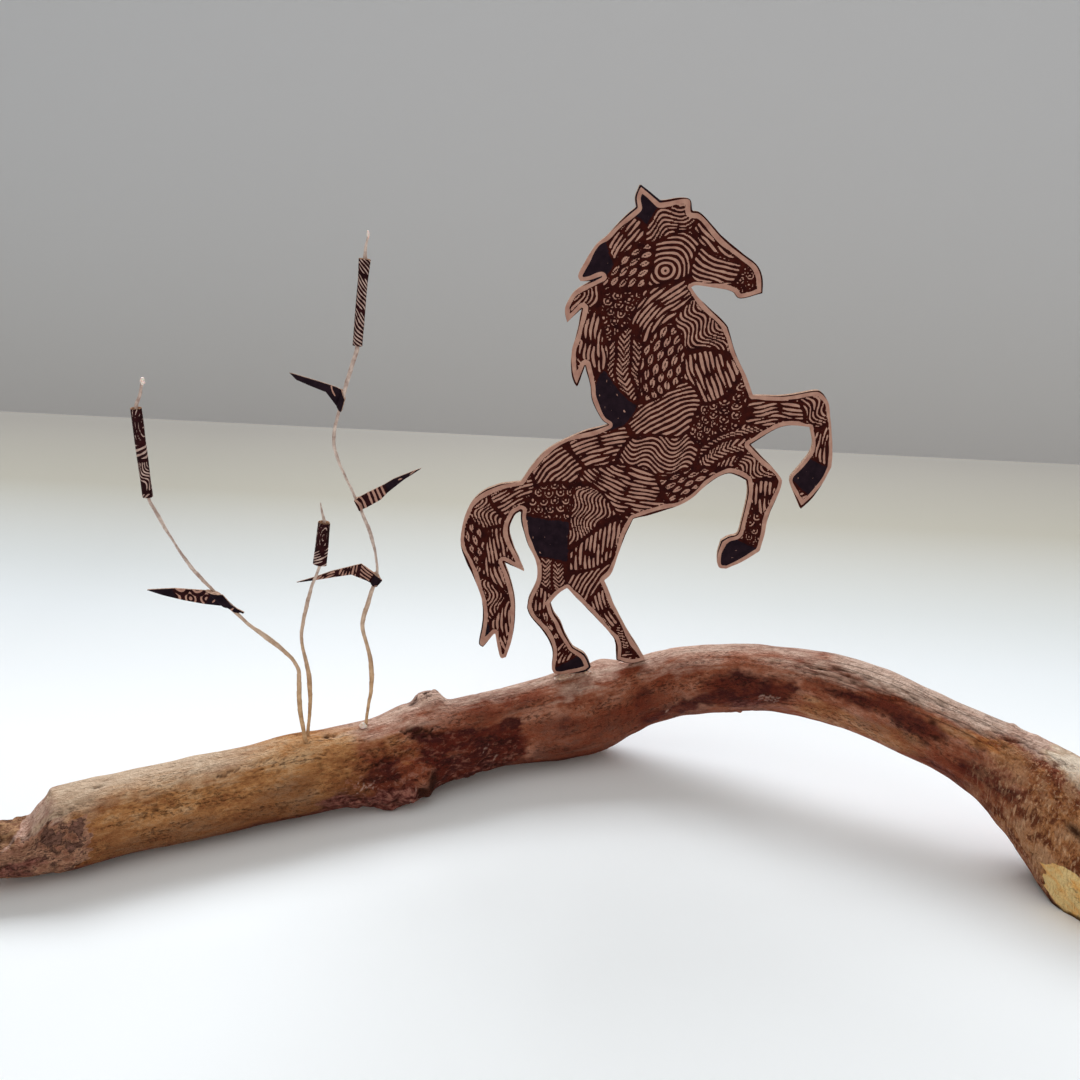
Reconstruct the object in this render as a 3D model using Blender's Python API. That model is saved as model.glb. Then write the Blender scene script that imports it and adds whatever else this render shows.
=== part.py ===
"""A rearing card horse and three paper reeds on a length of driftwood.

Named sizes are millimetres and MM turns them to metres. The table is z = 0, +X runs
along the driftwood to its sawn foot, and the work is seen from -Y. The lists are drawn
from a point under the horse's near hoof, and MIDDLE moves the whole work so that the
origin is the middle of its outline, on the table.
"""
import math

import bmesh
import bpy
from mathutils import Vector

MM = 0.001

# The middle of the work's outline on the table, as seen from the drawing's own zero.
MIDDLE = (-3.6, -6.7, 0.0)

# Clearances: pieces that touch keep GAP between their surfaces, and every cutting tool
# runs OVERRUN past what it cuts.
GAP = 0.3
OVERRUN = 4.0
SHARP_ANGLE = 35.0

# Driftwood: how finely the wood is rounded, the blocks taken off it at the table and by
# the saw at its foot, and the rotten hollow in its broken end.
RING_SIDES = 20
RING_SPACING = 2.65
PATH_STEPS = 12
TABLE_BLOCK = (400.0, 400.0, 50.0)
SAW_BLOCK = (60.0, 60.0, 40.0)
SAW_POINT = (129.4, -54.1, 5.0)
SAW_NORMAL = (-0.80, -0.58, -0.14)
ROT_HOLLOW = (-160.0, -36.0, 12.5)
ROT_HOLLOW_SIZE = (17.0, 9.0, 6.0)

# Heart of the wood from the broken end to the sawn foot:
# x, y, z of the heart, half width, height above the heart, depth below it.
WOOD = [
    (-158.5, -37.5, 9.6, 5.0, 4.6, 5.6),
    (-151.5, -34.5, 9.8, 7.0, 5.2, 7.0),
    (-145.5, -32.0, 9.6, 8.4, 5.0, 8.2),
    (-140.0, -29.8, 9.4, 9.3, 4.4, 9.0),
    (-137.5, -28.8, 9.6, 9.7, 5.2, 9.4),
    (-134.5, -27.6, 10.0, 10.0, 8.4, 9.9),
    (-132.0, -26.6, 10.1, 10.3, 11.6, 10.2),
    (-128.0, -24.6, 10.3, 10.6, 12.0, 10.3),
    (-113.5, -17.5, 10.7, 10.8, 11.3, 10.5),
    (-84.0, -5.0, 11.3, 11.1, 11.2, 11.2),
    (-68.5, 1.5, 11.6, 11.1, 11.2, 11.6),
    (-52.5, 8.5, 11.6, 11.3, 11.2, 11.6),
    (-35.5, 16.0, 12.3, 11.5, 11.4, 11.6),
    (-18.0, 23.5, 13.3, 11.4, 11.4, 12.0),
    (0.0, 30.0, 13.8, 12.6, 12.6, 14.0),
    (9.5, 32.5, 15.4, 12.8, 12.4, 14.2),
    (18.5, 33.3, 18.2, 11.9, 10.5, 11.6),
    (27.5, 33.0, 21.2, 10.8, 10.2, 10.4),
    (39.5, 31.0, 25.2, 10.5, 10.4, 10.3),
    (59.0, 23.5, 29.9, 9.9, 9.9, 9.9),
    (79.0, 13.0, 30.9, 9.6, 9.7, 9.6),
    (96.0, 1.5, 28.2, 9.4, 9.9, 9.6),
    (108.0, -8.0, 26.2, 9.8, 9.8, 9.8),
    (117.8, -16.5, 22.9, 11.2, 11.2, 11.0),
    (125.2, -25.0, 18.4, 13.0, 15.6, 13.0),
    (131.2, -33.0, 13.2, 14.6, 18.2, 14.6),
    (135.4, -39.0, 8.2, 15.2, 18.6, 15.0),
    (138.8, -44.0, 3.2, 14.4, 16.4, 14.2),
    (141.6, -48.5, -2.5, 12.0, 12.8, 12.0),
    (143.4, -52.0, -7.5, 8.0, 8.0, 8.0),
]

# Lumps and hollows of the wood: where along x, where round the wood (0 faces the
# viewer, 90 is up, 180 is the far side), height, reach along the wood, reach round it.
LUMPS = [
    (-50.5, -38.0, 4.0, 8.5, 30.0),
    (-43.5, -24.0, 2.6, 3.2, 20.0),
    (-42.5, 108.0, 2.2, 6.5, 34.0),
    (-36.4, 112.0, 3.6, 3.6, 28.0),
    (16.5, 118.0, 1.4, 3.6, 24.0),
    (-76.0, 105.0, 0.9, 7.0, 35.0),
    (50.0, -88.0, 0.9, 2.6, 14.0),
    (119.0, 86.0, 0.8, 7.0, 40.0),
    (-98.0, 20.0, -0.5, 14.0, 40.0),
    (-20.0, 10.0, -0.7, 9.0, 45.0),
    (34.0, 30.0, -0.4, 12.0, 40.0),
    (90.0, 105.0, 1.1, 11.0, 45.0),
    (104.0, 190.0, -0.8, 9.0, 50.0),
    (-75.0, 175.0, -0.8, 16.0, 45.0),
]

# The horse: card thickness, the plane that it stands in, and its outline as runs of
# points (x, z). A run is one smooth stretch, and two runs meet in a corner.
CARD = 1.5
HORSE_Y = 32.0
CURVE_STEPS = 2
HORSE = [
    ("ear front", [(20.2, 169.4), (25.6, 165.3)]),
    ("forelock", [(25.6, 165.3), (32.9, 165.9), (34.1, 162.6)]),
    ("face", [(34.1, 162.6), (36.8, 161.8), (42.1, 156.4), (48.8, 151.2), (52.2, 148.6),
              (53.8, 145.2), (54.0, 141.2)]),
    ("muzzle", [(54.0, 141.2), (48.1, 139.8), (46.2, 141.4), (44.2, 142.2)]),
    ("jaw", [(44.2, 142.2), (36.6, 143.3), (34.7, 142.8)]),
    ("throat and chest", [(34.7, 142.8), (37.3, 139.6), (44.2, 133.4), (45.7, 130.6),
                          (47.7, 124.9), (51.1, 118.5), (53.3, 113.1)]),
    ("raised foreleg", [(53.3, 113.1), (62.0, 113.1), (69.7, 114.5), (71.9, 114.2),
                        (73.5, 112.5), (74.8, 109.4), (76.6, 98.4), (76.8, 92.5)]),
    ("raised hoof", [(76.8, 92.5), (74.7, 87.5), (72.2, 83.3), (69.0, 79.9)]),
    ("raised hoof back", [(69.0, 79.9), (65.6, 87.2), (65.4, 89.6)]),
    ("raised shin back", [(65.4, 89.6), (70.7, 97.5), (69.9, 104.2)]),
    ("raised foreleg under", [(69.9, 104.2), (61.8, 104.2), (53.4, 99.0)]),
    ("bent foreleg", [(53.4, 99.0), (61.9, 90.2), (63.0, 87.2), (61.6, 82.4), (59.7, 76.9),
                      (59.1, 72.0), (58.0, 67.0)]),
    ("bent hoof", [(58.0, 67.0), (53.5, 63.9), (48.7, 61.4)]),
    ("bent hoof back", [(48.7, 61.4), (46.3, 62.0), (45.8, 66.1), (46.7, 70.1)]),
    ("bent shin back", [(46.7, 70.1), (48.7, 71.4), (51.3, 72.3), (52.2, 76.3), (53.4, 84.2),
                        (52.9, 88.4)]),
    ("belly", [(52.9, 88.4), (50.2, 89.9), (47.1, 90.5), (42.3, 87.8), (36.6, 82.4),
               (28.6, 79.0), (20.9, 76.9)]),
    ("flank", [(20.9, 76.9), (17.9, 69.5), (15.2, 60.7), (12.9, 57.6)]),
    ("far hind leg", [(12.9, 57.6), (17.6, 46.3), (25.8, 31.9)]),
    ("far hoof", [(25.8, 31.9), (21.4, 30.7), (17.0, 31.8)]),
    ("far heel", [(17.0, 31.8), (16.6, 37.5), (14.1, 41.7), (2.0, 55.3)]),
    ("crotch", [(2.0, 55.3), (-0.4, 53.7), (-3.0, 50.5)]),
    ("near hind leg", [(-3.0, 50.5), (-1.8, 47.3), (0.0, 44.4), (1.5, 40.4), (3.9, 36.1)]),
    ("near pastern", [(3.9, 36.1), (7.6, 33.5), (9.5, 29.5)]),
    ("near hoof", [(9.5, 29.5), (7.9, 28.1), (4.6, 27.4), (0.4, 27.1), (-1.7, 27.4),
                   (-2.4, 28.8)]),
    ("near heel", [(-2.4, 28.8), (-2.4, 35.5), (-4.5, 40.4), (-8.7, 46.0), (-9.9, 48.9)]),
    ("hock and rump", [(-9.9, 48.9), (-9.3, 52.1), (-6.9, 58.2), (-7.2, 63.9), (-9.8, 69.8),
                       (-11.5, 76.3), (-11.5, 79.3)]),
    ("tail inner top", [(-11.5, 79.3), (-13.5, 77.5), (-14.7, 72.0), (-10.7, 60.7)]),
    ("tail side lock", [(-10.7, 60.7), (-16.6, 63.6)]),
    ("tail inner", [(-16.6, 63.6), (-14.6, 57.6), (-13.4, 51.2), (-13.5, 44.7),
                    (-14.4, 38.8), (-16.3, 32.8)]),
    ("tail tip", [(-16.3, 32.8), (-18.1, 33.1), (-19.5, 40.8)]),
    ("tail notch", [(-19.5, 40.8), (-23.2, 36.1)]),
    ("tail outer", [(-23.2, 36.1), (-24.4, 37.5), (-23.4, 43.0), (-23.0, 49.6),
                    (-24.6, 56.3), (-29.0, 68.6), (-27.1, 79.0), (-23.2, 84.5),
                    (-17.5, 87.2), (-11.4, 88.1)]),
    ("back", [(-11.4, 88.1), (-8.3, 92.8), (-3.5, 97.8), (4.7, 102.2), (13.4, 104.8)]),
    ("mane low", [(13.4, 104.8), (11.1, 106.5), (8.5, 111.7), (7.9, 115.9), (6.4, 121.5)]),
    ("low lock under", [(6.4, 121.5), (4.3, 115.4)]),
    ("low lock", [(4.3, 115.4), (3.2, 117.3), (2.6, 120.1), (2.8, 125.7), (3.9, 129.6),
                  (5.4, 137.2)]),
    ("middle lock under", [(5.4, 137.2), (1.4, 133.4)]),
    ("middle lock", [(1.4, 133.4), (0.8, 136.1), (1.3, 138.5), (4.0, 142.2), (10.7, 145.7)]),
    ("top lock under", [(10.7, 145.7), (7.7, 144.6), (4.8, 144.4)]),
    ("crest", [(4.8, 144.4), (4.5, 146.5), (8.7, 153.6), (11.8, 156.4), (15.4, 160.3),
               (19.3, 163.6)]),
    ("ear back", [(19.3, 163.6), (19.0, 166.4), (20.2, 169.4)]),
]

# Reeds: covered wire stems, glued in drilled holes.
STEM_RADIUS = 0.65
STEM_STEPS = 2
HOLE_DEPTH = 8.0
HOLE_SIDES = 12
STEMS = {
    "left": [
        (-71.2, -1.4, 23.0), (-71.7, -1.8, 29.0), (-71.9, -2.1, 34.4), (-71.6, -2.2, 40.6),
        (-71.4, -2.4, 45.2), (-72.8, -2.5, 48.5), (-74.8, -2.6, 50.9), (-77.8, -2.7, 53.9),
        (-81.3, -2.8, 56.9), (-84.3, -2.8, 59.6), (-91.6, -3.1, 68.3), (-97.1, -3.3, 75.5),
        (-101.8, -3.6, 84.7), (-104.6, -3.8, 91.4), (-105.9, -3.9, 95.0),
        (-105.9, -4.6, 118.2), (-104.6, -4.7, 121.5), (-103.5, -4.8, 125.0),
    ],
    "middle": [
        (-71.2, 1.6, 23.0), (-70.7, 1.9, 26.5), (-69.9, 2.2, 33.0), (-69.8, 2.5, 41.5),
        (-70.6, 2.7, 47.2), (-71.1, 2.8, 51.4), (-70.6, 2.9, 55.8), (-67.6, 3.2, 66.6),
        (-65.3, 3.4, 72.0), (-64.7, 3.5, 73.8), (-62.9, 3.8, 85.4), (-63.4, 3.9, 88.2),
        (-63.6, 4.0, 90.7),
    ],
    "right": [
        (-55.7, 7.5, 23.0), (-54.8, 7.7, 28.5), (-53.7, 7.8, 33.9), (-53.3, 7.9, 40.1),
        (-53.7, 8.0, 45.3), (-54.9, 8.2, 51.0), (-55.1, 8.2, 54.5), (-53.3, 8.4, 60.3),
        (-51.6, 8.5, 65.3), (-50.5, 8.6, 68.4), (-50.4, 8.7, 72.3), (-50.9, 8.8, 76.6),
        (-52.0, 8.9, 81.4), (-55.1, 9.1, 90.1), (-58.6, 9.3, 98.9), (-59.8, 9.4, 103.0),
        (-60.1, 9.4, 106.5), (-59.2, 9.6, 111.1), (-57.2, 9.7, 117.3), (-55.2, 9.8, 123.4),
        (-53.3, 10.0, 128.6), (-52.6, 10.0, 131.0), (-49.7, 10.5, 152.6),
        (-49.2, 10.6, 156.0), (-48.6, 10.7, 158.4),
    ],
}

# Seed heads: printed paper rolled round a stem. Each has the points of its stem where
# it starts and ends, and its outer radius along the way as (share of length, radius).
PAPER = 0.35
HEAD_SIDES = 20
HEAD_RINGS = 5
HEADS = {
    "left": (14, [(0.0, 1.45), (1.0, 1.55)]),
    "middle": (9, [(0.0, 2.15), (1.0, 1.75)]),
    "right": (21, [(0.0, 1.35), (0.25, 1.45), (0.5, 1.4), (0.75, 1.35), (1.0, 1.65)]),
}

# Leaves: a strip of printed paper folded round its stem and glued to itself. Each has
# its stem, the first of the two stem points that the fold lies between, how far the
# blade swings towards the viewer in degrees, and its outline (x, z).
LEAF_THICK = 0.7
SLEEVE_WALL = 0.35
LEAVES = {
    "leaf_left_stem": ("left", 9, 6.0, 0.35, 0.85, [
        (-108.8, 70.0), (-101.6, 70.2), (-93.7, 69.3), (-89.4, 67.7), (-87.7, 64.9),
        (-89.9, 64.7), (-94.4, 65.5), (-99.6, 66.8), (-104.8, 68.4)]),
    "leaf_hooked": ("right", 17, -5.0, 0.45, 1.0, [
        (-70.7, 124.0), (-63.3, 121.9), (-59.0, 120.5), (-57.3, 119.6), (-56.6, 117.1),
        (-57.7, 113.7), (-61.4, 119.0), (-65.2, 120.5), (-68.9, 122.1)]),
    "leaf_raised": ("right", 12, 6.0, 0.66, 1.0, [
        (-54.2, 87.2), (-55.4, 90.2), (-47.4, 94.3), (-44.7, 96.0), (-39.6, 98.2),
        (-36.8, 99.3), (-42.1, 95.7), (-46.5, 92.1), (-48.4, 90.1), (-52.3, 87.8)]),
    "leaf_bent": ("right", 8, -4.0, 0.05, 0.85, [
        (-73.6, 65.6), (-67.4, 67.7), (-62.9, 69.5), (-54.6, 71.8), (-50.4, 68.6),
        (-49.1, 66.8), (-50.6, 65.1), (-53.2, 66.8), (-57.5, 68.6), (-62.5, 67.7),
        (-68.5, 66.5)]),
}


def material(name, rgb, roughness):
    """A plain Principled material for one piece."""
    mat = bpy.data.materials.new(name)
    mat.use_nodes = True
    shader = mat.node_tree.nodes["Principled BSDF"]
    shader.inputs["Base Color"].default_value = (*rgb, 1.0)
    shader.inputs["Roughness"].default_value = roughness
    shader.inputs["Metallic"].default_value = 0.0
    return mat


def add_object(name, bm, mat=None, smooth=False):
    """Turn a bmesh drawn in millimetres into an object in metres."""
    bmesh.ops.translate(bm, vec=-Vector(MIDDLE), verts=bm.verts)
    bmesh.ops.scale(bm, vec=(MM, MM, MM), verts=bm.verts)
    bmesh.ops.recalc_face_normals(bm, faces=bm.faces)
    mesh = bpy.data.meshes.new(name)
    bm.to_mesh(mesh)
    bm.free()
    if smooth:
        mesh.shade_smooth()
        mesh.set_sharp_from_angle(angle=math.radians(SHARP_ANGLE))
    if mat is not None:
        mesh.materials.append(mat)
    obj = bpy.data.objects.new(name, mesh)
    bpy.context.scene.collection.objects.link(obj)
    return obj


def boolean(obj, tool, operation="DIFFERENCE"):
    """Keep a Boolean with a hidden tool object on a piece."""
    tool.hide_render = True
    tool.display_type = "WIRE"
    mod = obj.modifiers.new(tool.name, "BOOLEAN")
    mod.operation = operation
    mod.solver = "EXACT"
    mod.object = tool


def smooth_path(points, steps):
    """Points of a Catmull-Rom curve through the given points, ends included."""
    pts = [Vector(p) for p in points]
    pts = [2 * pts[0] - pts[1]] + pts + [2 * pts[-1] - pts[-2]]
    out = []
    for a, b, c, d in zip(pts, pts[1:], pts[2:], pts[3:]):
        for k in range(steps):
            t = k / steps
            out.append(0.5 * (2 * b + (c - a) * t + (2 * a - 5 * b + 4 * c - d) * t * t
                              + (3 * b - a - 3 * c + d) * t ** 3))
    out.append(pts[-2])
    return out


def lump_height(x, angle):
    """How far the lumps raise the wood at x and at an angle round it, in degrees."""
    total = 0.0
    for at_x, at_angle, height, reach, spread in LUMPS:
        turn = (angle - at_angle + 180.0) % 360.0 - 180.0
        total += height * math.exp(-((x - at_x) / reach) ** 2 - (turn / spread) ** 2)
    return total


def even_stations():
    """Wood stations at even spacing along the smooth heart line, as 6-value rows."""
    place = smooth_path([row[:3] for row in WOOD], PATH_STEPS)
    size = smooth_path([row[3:] for row in WOOD], PATH_STEPS)
    run = [0.0]
    for a, b in zip(place, place[1:]):
        run.append(run[-1] + (b - a).length)
    count = round(run[-1] / RING_SPACING)
    rows, k = [], 0
    for i in range(count + 1):
        goal = run[-1] * i / count
        while k < len(run) - 2 and run[k + 1] < goal:
            k += 1
        t = (goal - run[k]) / (run[k + 1] - run[k])
        rows.append((place[k].lerp(place[k + 1], t), size[k].lerp(size[k + 1], t)))
    return rows


def wood_rings(bm):
    """Rings of the driftwood, each square to the heart line."""
    rows = even_stations()
    rings = []
    for i, (heart, (width, up, down)) in enumerate(rows):
        ahead = rows[min(i + 1, len(rows) - 1)][0] - rows[max(i - 1, 0)][0]
        side = ahead.cross(Vector((0.0, 0.0, 1.0))).normalized()
        top = side.cross(ahead).normalized()
        ring = []
        for k in range(RING_SIDES):
            turn = 2.0 * math.pi * k / RING_SIDES
            arm = side * width * math.cos(turn)
            arm += top * (up if math.sin(turn) > 0.0 else down) * math.sin(turn)
            arm += arm.normalized() * lump_height(heart.x, math.degrees(turn))
            ring.append(bm.verts.new(heart + arm))
        rings.append(ring)
    return rings


def skin(bm, rings):
    """Faces between rings, and a face over each end."""
    for ring, following in zip(rings, rings[1:]):
        n = len(ring)
        for k in range(n):
            bm.faces.new((ring[k], ring[(k + 1) % n], following[(k + 1) % n], following[k]))
    bm.faces.new(rings[0])
    bm.faces.new(rings[-1])


def block_tool(name, size, point, normal):
    """A block that takes off all that lies past a plane, on the side of its normal."""
    way = Vector(normal).normalized()
    bm = bmesh.new()
    bmesh.ops.create_cube(bm, size=1.0)
    bmesh.ops.scale(bm, vec=size, verts=bm.verts)
    turn = Vector((0.0, 0.0, 1.0)).rotation_difference(way)
    bmesh.ops.rotate(bm, matrix=turn.to_matrix(), verts=bm.verts)
    bmesh.ops.translate(bm, vec=Vector(point) + way * size[2] / 2, verts=bm.verts)
    return add_object(name, bm)


def rod(name, start, end, radius, overrun=0.0):
    """A round rod between two points, run past both of them by overrun."""
    way = (end - start).normalized()
    bm = bmesh.new()
    bmesh.ops.create_cone(
        bm, cap_ends=True, segments=HOLE_SIDES, radius1=radius, radius2=radius,
        depth=(end - start).length + 2.0 * overrun)
    turn = Vector((0.0, 0.0, 1.0)).rotation_difference(way)
    bmesh.ops.rotate(bm, matrix=turn.to_matrix(), verts=bm.verts)
    bmesh.ops.translate(bm, vec=(start + end) / 2, verts=bm.verts)
    return add_object(name, bm)


def stem_hole(name, depth):
    """The point at a depth down a stem's hole, and the point at the hole's mouth."""
    mouth, second = (Vector(p) for p in STEMS[name][:2])
    return mouth - (second - mouth).normalized() * depth, mouth


def make_driftwood(mat):
    """The branch: a loft, flat where it meets the table, sawn, hollowed and drilled."""
    bm = bmesh.new()
    skin(bm, wood_rings(bm))
    wood = add_object("driftwood_branch", bm, mat, smooth=True)
    boolean(wood, block_tool("cut_table", TABLE_BLOCK, (0.0, 0.0, 0.0), (0.0, 0.0, -1.0)))
    boolean(wood, block_tool("cut_saw", SAW_BLOCK, SAW_POINT, SAW_NORMAL))
    bm = bmesh.new()
    bmesh.ops.create_icosphere(bm, subdivisions=2, radius=1.0)
    bmesh.ops.scale(bm, vec=ROT_HOLLOW_SIZE, verts=bm.verts)
    bmesh.ops.translate(bm, vec=ROT_HOLLOW, verts=bm.verts)
    boolean(wood, add_object("cut_rot_hollow", bm))
    for name in STEMS:
        bottom, mouth = stem_hole(name, HOLE_DEPTH - OVERRUN)
        boolean(wood, rod("cut_hole_" + name, bottom, mouth, STEM_RADIUS + GAP, OVERRUN))


def make_horse(mat):
    """The horse: its outline as one face, pushed through to the card's thickness."""
    outline = []
    for _, run in HORSE:
        steps = CURVE_STEPS if len(run) > 2 else 1
        outline += smooth_path([(x, z) for x, z in run], steps)[:-1]
    bm = bmesh.new()
    face = bm.faces.new([bm.verts.new((p.x, HORSE_Y + CARD / 2, p.y)) for p in outline])
    pushed = bmesh.ops.extrude_face_region(bm, geom=[face])["geom"]
    moved = [v for v in pushed if isinstance(v, bmesh.types.BMVert)]
    bmesh.ops.translate(bm, vec=(0.0, -CARD, 0.0), verts=moved)
    add_object("horse_cutout", bm, mat)


def make_stem(name, mat):
    """A stem: one smooth wire from the bottom of its hole to its tip."""
    bottom, _ = stem_hole(name, HOLE_DEPTH - GAP)
    route = [bottom] + smooth_path(STEMS[name], STEM_STEPS)
    curve = bpy.data.curves.new("reed_stem_" + name, "CURVE")
    curve.dimensions = "3D"
    curve.bevel_depth = STEM_RADIUS * MM
    curve.bevel_resolution = 2
    curve.use_fill_caps = True
    spline = curve.splines.new("POLY")
    spline.points.add(len(route) - 1)
    for point, place in zip(spline.points, route):
        point.co = (*((place - Vector(MIDDLE)) * MM), 1.0)
    curve.materials.append(mat)
    obj = bpy.data.objects.new("reed_stem_" + name, curve)
    bpy.context.scene.collection.objects.link(obj)


def radius_at(profile, share):
    """The radius of a head at a share of its length."""
    for (s0, r0), (s1, r1) in zip(profile, profile[1:]):
        if share <= s1:
            return r0 + (r1 - r0) * (share - s0) / (s1 - s0)
    return profile[-1][1]


def make_head(name, mat):
    """A seed head: a tube of rolled paper whose last turn ends in a step."""
    first, profile = HEADS[name]
    start, end = (Vector(p) for p in STEMS[name][first:first + 2])
    way = (end - start).normalized()
    side = way.cross(Vector((0.0, 1.0, 0.0))).normalized()
    front = way.cross(side)
    bm = bmesh.new()
    loops = []
    for i in range(HEAD_RINGS):
        share = i / (HEAD_RINGS - 1)
        heart = start.lerp(end, share)
        outer = radius_at(profile, share)
        wall = []
        for k in range(HEAD_SIDES + 1):
            turn = 2.0 * math.pi * k / HEAD_SIDES
            arm = side * math.cos(turn) + front * math.sin(turn)
            grown = outer - PAPER * (1.0 - k / HEAD_SIDES)
            wall.append(bm.verts.new(heart + arm * grown))
        loops.append(wall)
    skin(bm, loops)
    head = add_object("reed_head_" + name, bm, mat, smooth=True)
    boolean(head, rod("cut_bore_" + name, start, end, STEM_RADIUS + GAP, OVERRUN))


def make_leaf(name, mat):
    """A leaf: a flat blade joined to the fold that wraps its stem."""
    stem, first, swing, low, high, outline = LEAVES[name]
    a, b = (Vector(p) for p in STEMS[stem][first:first + 2])
    start, end = a.lerp(b, low), a.lerp(b, high)
    middle = (start + end) / 2
    slope = math.tan(math.radians(swing))
    bm = bmesh.new()
    ring = []
    for x, z in outline:
        lean = -abs(x - middle.x) * slope
        ring.append(bm.verts.new((x, middle.y + lean + LEAF_THICK / 2, z)))
    face = bm.faces.new(ring)
    pushed = bmesh.ops.extrude_face_region(bm, geom=[face])["geom"]
    moved = [v for v in pushed if isinstance(v, bmesh.types.BMVert)]
    bmesh.ops.translate(bm, vec=(0.0, -LEAF_THICK, 0.0), verts=moved)
    leaf = add_object(name, bm, mat)
    bore = STEM_RADIUS + GAP
    boolean(leaf, rod("join_fold_" + name, start, end, bore + SLEEVE_WALL), "UNION")
    boolean(leaf, rod("cut_fold_" + name, start, end, bore, 2.0 * OVERRUN))


def main():
    """Clear the file and make every piece."""
    for old in list(bpy.data.objects):
        bpy.data.objects.remove(old, do_unlink=True)
    make_driftwood(material("driftwood", (0.27, 0.15, 0.08), 0.75))
    make_horse(material("printed card", (0.16, 0.08, 0.05), 0.8))
    for name in STEMS:
        make_stem(name, material("stem paper " + name, (0.42, 0.27, 0.15), 0.8))
    for name in HEADS:
        make_head(name, material("head paper " + name, (0.12, 0.06, 0.05), 0.8))
    for name in LEAVES:
        make_leaf(name, material(name.replace("_", " ") + " paper", (0.1, 0.05, 0.05), 0.8))


main()
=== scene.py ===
# %% [markdown]
# # A card horse and three paper reeds on driftwood
# The solid model fixes where every piece is and how large. This lesson makes what the eye
# meets: worn wood, a printed and cut-out card, wire wrapped in paper, rolled and folded
# paper, and drops of glue. The model comes in first, because every piece is placed by it.

# %% Load the solid model
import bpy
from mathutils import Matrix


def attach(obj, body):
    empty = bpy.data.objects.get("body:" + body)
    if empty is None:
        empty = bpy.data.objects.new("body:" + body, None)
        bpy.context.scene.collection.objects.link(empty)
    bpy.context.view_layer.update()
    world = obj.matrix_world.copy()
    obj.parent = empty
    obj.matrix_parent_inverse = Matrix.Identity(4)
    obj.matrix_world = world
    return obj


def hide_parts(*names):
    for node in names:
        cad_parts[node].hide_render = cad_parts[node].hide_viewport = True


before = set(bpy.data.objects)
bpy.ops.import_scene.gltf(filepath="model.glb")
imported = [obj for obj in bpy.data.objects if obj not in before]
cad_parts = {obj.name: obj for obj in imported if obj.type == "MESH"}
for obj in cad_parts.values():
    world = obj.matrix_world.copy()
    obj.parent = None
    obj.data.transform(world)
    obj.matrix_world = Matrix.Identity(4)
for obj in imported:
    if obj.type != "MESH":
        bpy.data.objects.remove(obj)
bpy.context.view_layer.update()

# %% Tools for the whole lesson
import itertools
import math

import bmesh
import bpy
import numpy as np

print("solid pieces:", ", ".join(sorted(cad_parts)))

# %% [markdown]
# ## Units and the drawing's own zero
# All shapes are drawn in millimetres, from a point on the table under the horse's near
# hoof. `MIDDLE` is the middle of the work's outline in that drawing, and taking it away
# puts a piece where the solid model has it. The piece's object stays at the origin.

# %% Units
MM = 0.001
MIDDLE = np.array([-3.6, -6.7, 0.0])
UP = np.array([0.0, 0.0, 1.0])


def in_metres(points):
    """Drawing millimetres to the model's metres: the middle taken away, times 0.001."""
    return (np.asarray(points, float) - MIDDLE) * MM


# %% [markdown]
# ## Paths, grids and noise
# Most pieces here are a profile carried along a path. A Catmull-Rom curve passes through
# every point that was drawn, which suits hand-bent wire and grown wood. Value noise gives
# unevenness: random numbers on a lattice, blended inside each cell, so that the same seed
# gives the same bumps every time.

# %% Paths
def smooth_path(points, steps):
    """Catmull-Rom curve: each span blends its two ends and their neighbours by cubics in t."""
    pts = np.asarray(points, float)
    pts = np.vstack([2 * pts[0] - pts[1], pts, 2 * pts[-1] - pts[-2]])
    a, b, c, d = (pts[k:len(pts) - 3 + k, None, :] for k in range(4))
    t = (np.arange(steps) / steps)[None, :, None]
    spans = 0.5 * (2 * b + (c - a) * t + (2 * a - 5 * b + 4 * c - d) * t ** 2
                   + (3 * b - a - 3 * c + d) * t ** 3)
    return np.vstack([spans.reshape(-1, pts.shape[1]), pts[-2]])


def bent_wire(points, steps):
    """Curve through uneven points: cubic spans whose end slopes weigh both neighbours.

    A slope is the way from the point before to the point after over the distance run, so a
    long span doesn't swing the short one beside it.
    """
    pts = np.asarray(points, float)
    span = np.linalg.norm(np.diff(pts, axis=0), axis=1)
    slope = np.vstack([(pts[1] - pts[0]) / span[0],
                       (pts[2:] - pts[:-2]) / (span[1:] + span[:-1])[:, None],
                       (pts[-1] - pts[-2]) / span[-1]])
    t = (np.arange(steps) / steps)[None, :, None]
    a, b = pts[:-1, None], pts[1:, None]
    out, back = slope[:-1, None] * span[:, None, None], slope[1:, None] * span[:, None, None]
    spans = (2 * t ** 3 - 3 * t ** 2 + 1) * a + (t ** 3 - 2 * t ** 2 + t) * out \
        + (3 * t ** 2 - 2 * t ** 3) * b + (t ** 3 - t ** 2) * back
    return np.vstack([spans.reshape(-1, 3), pts[-1]])


def path_lengths(path):
    """Distance run along a path up to each of its points, from its first three columns."""
    steps = np.linalg.norm(np.diff(path[:, :3], axis=0), axis=1)
    return np.append(0.0, np.cumsum(steps))


def even_path(path, count):
    """The path read again at count evenly spaced distances, each column on its own."""
    run = path_lengths(path)
    goal = np.linspace(0.0, run[-1], count)
    return np.stack([np.interp(goal, run, column) for column in path.T], axis=1)


def unit(vectors):
    """Each vector divided by its own length."""
    return vectors / np.maximum(np.linalg.norm(vectors, axis=-1, keepdims=True), 1e-9)


def smoothstep(low, high, value):
    """0 below low, 1 above high, and 3t^2 - 2t^3 between them."""
    t = np.clip((value - low) / (high - low), 0.0, 1.0)
    return t * t * (3.0 - 2.0 * t)


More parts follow.
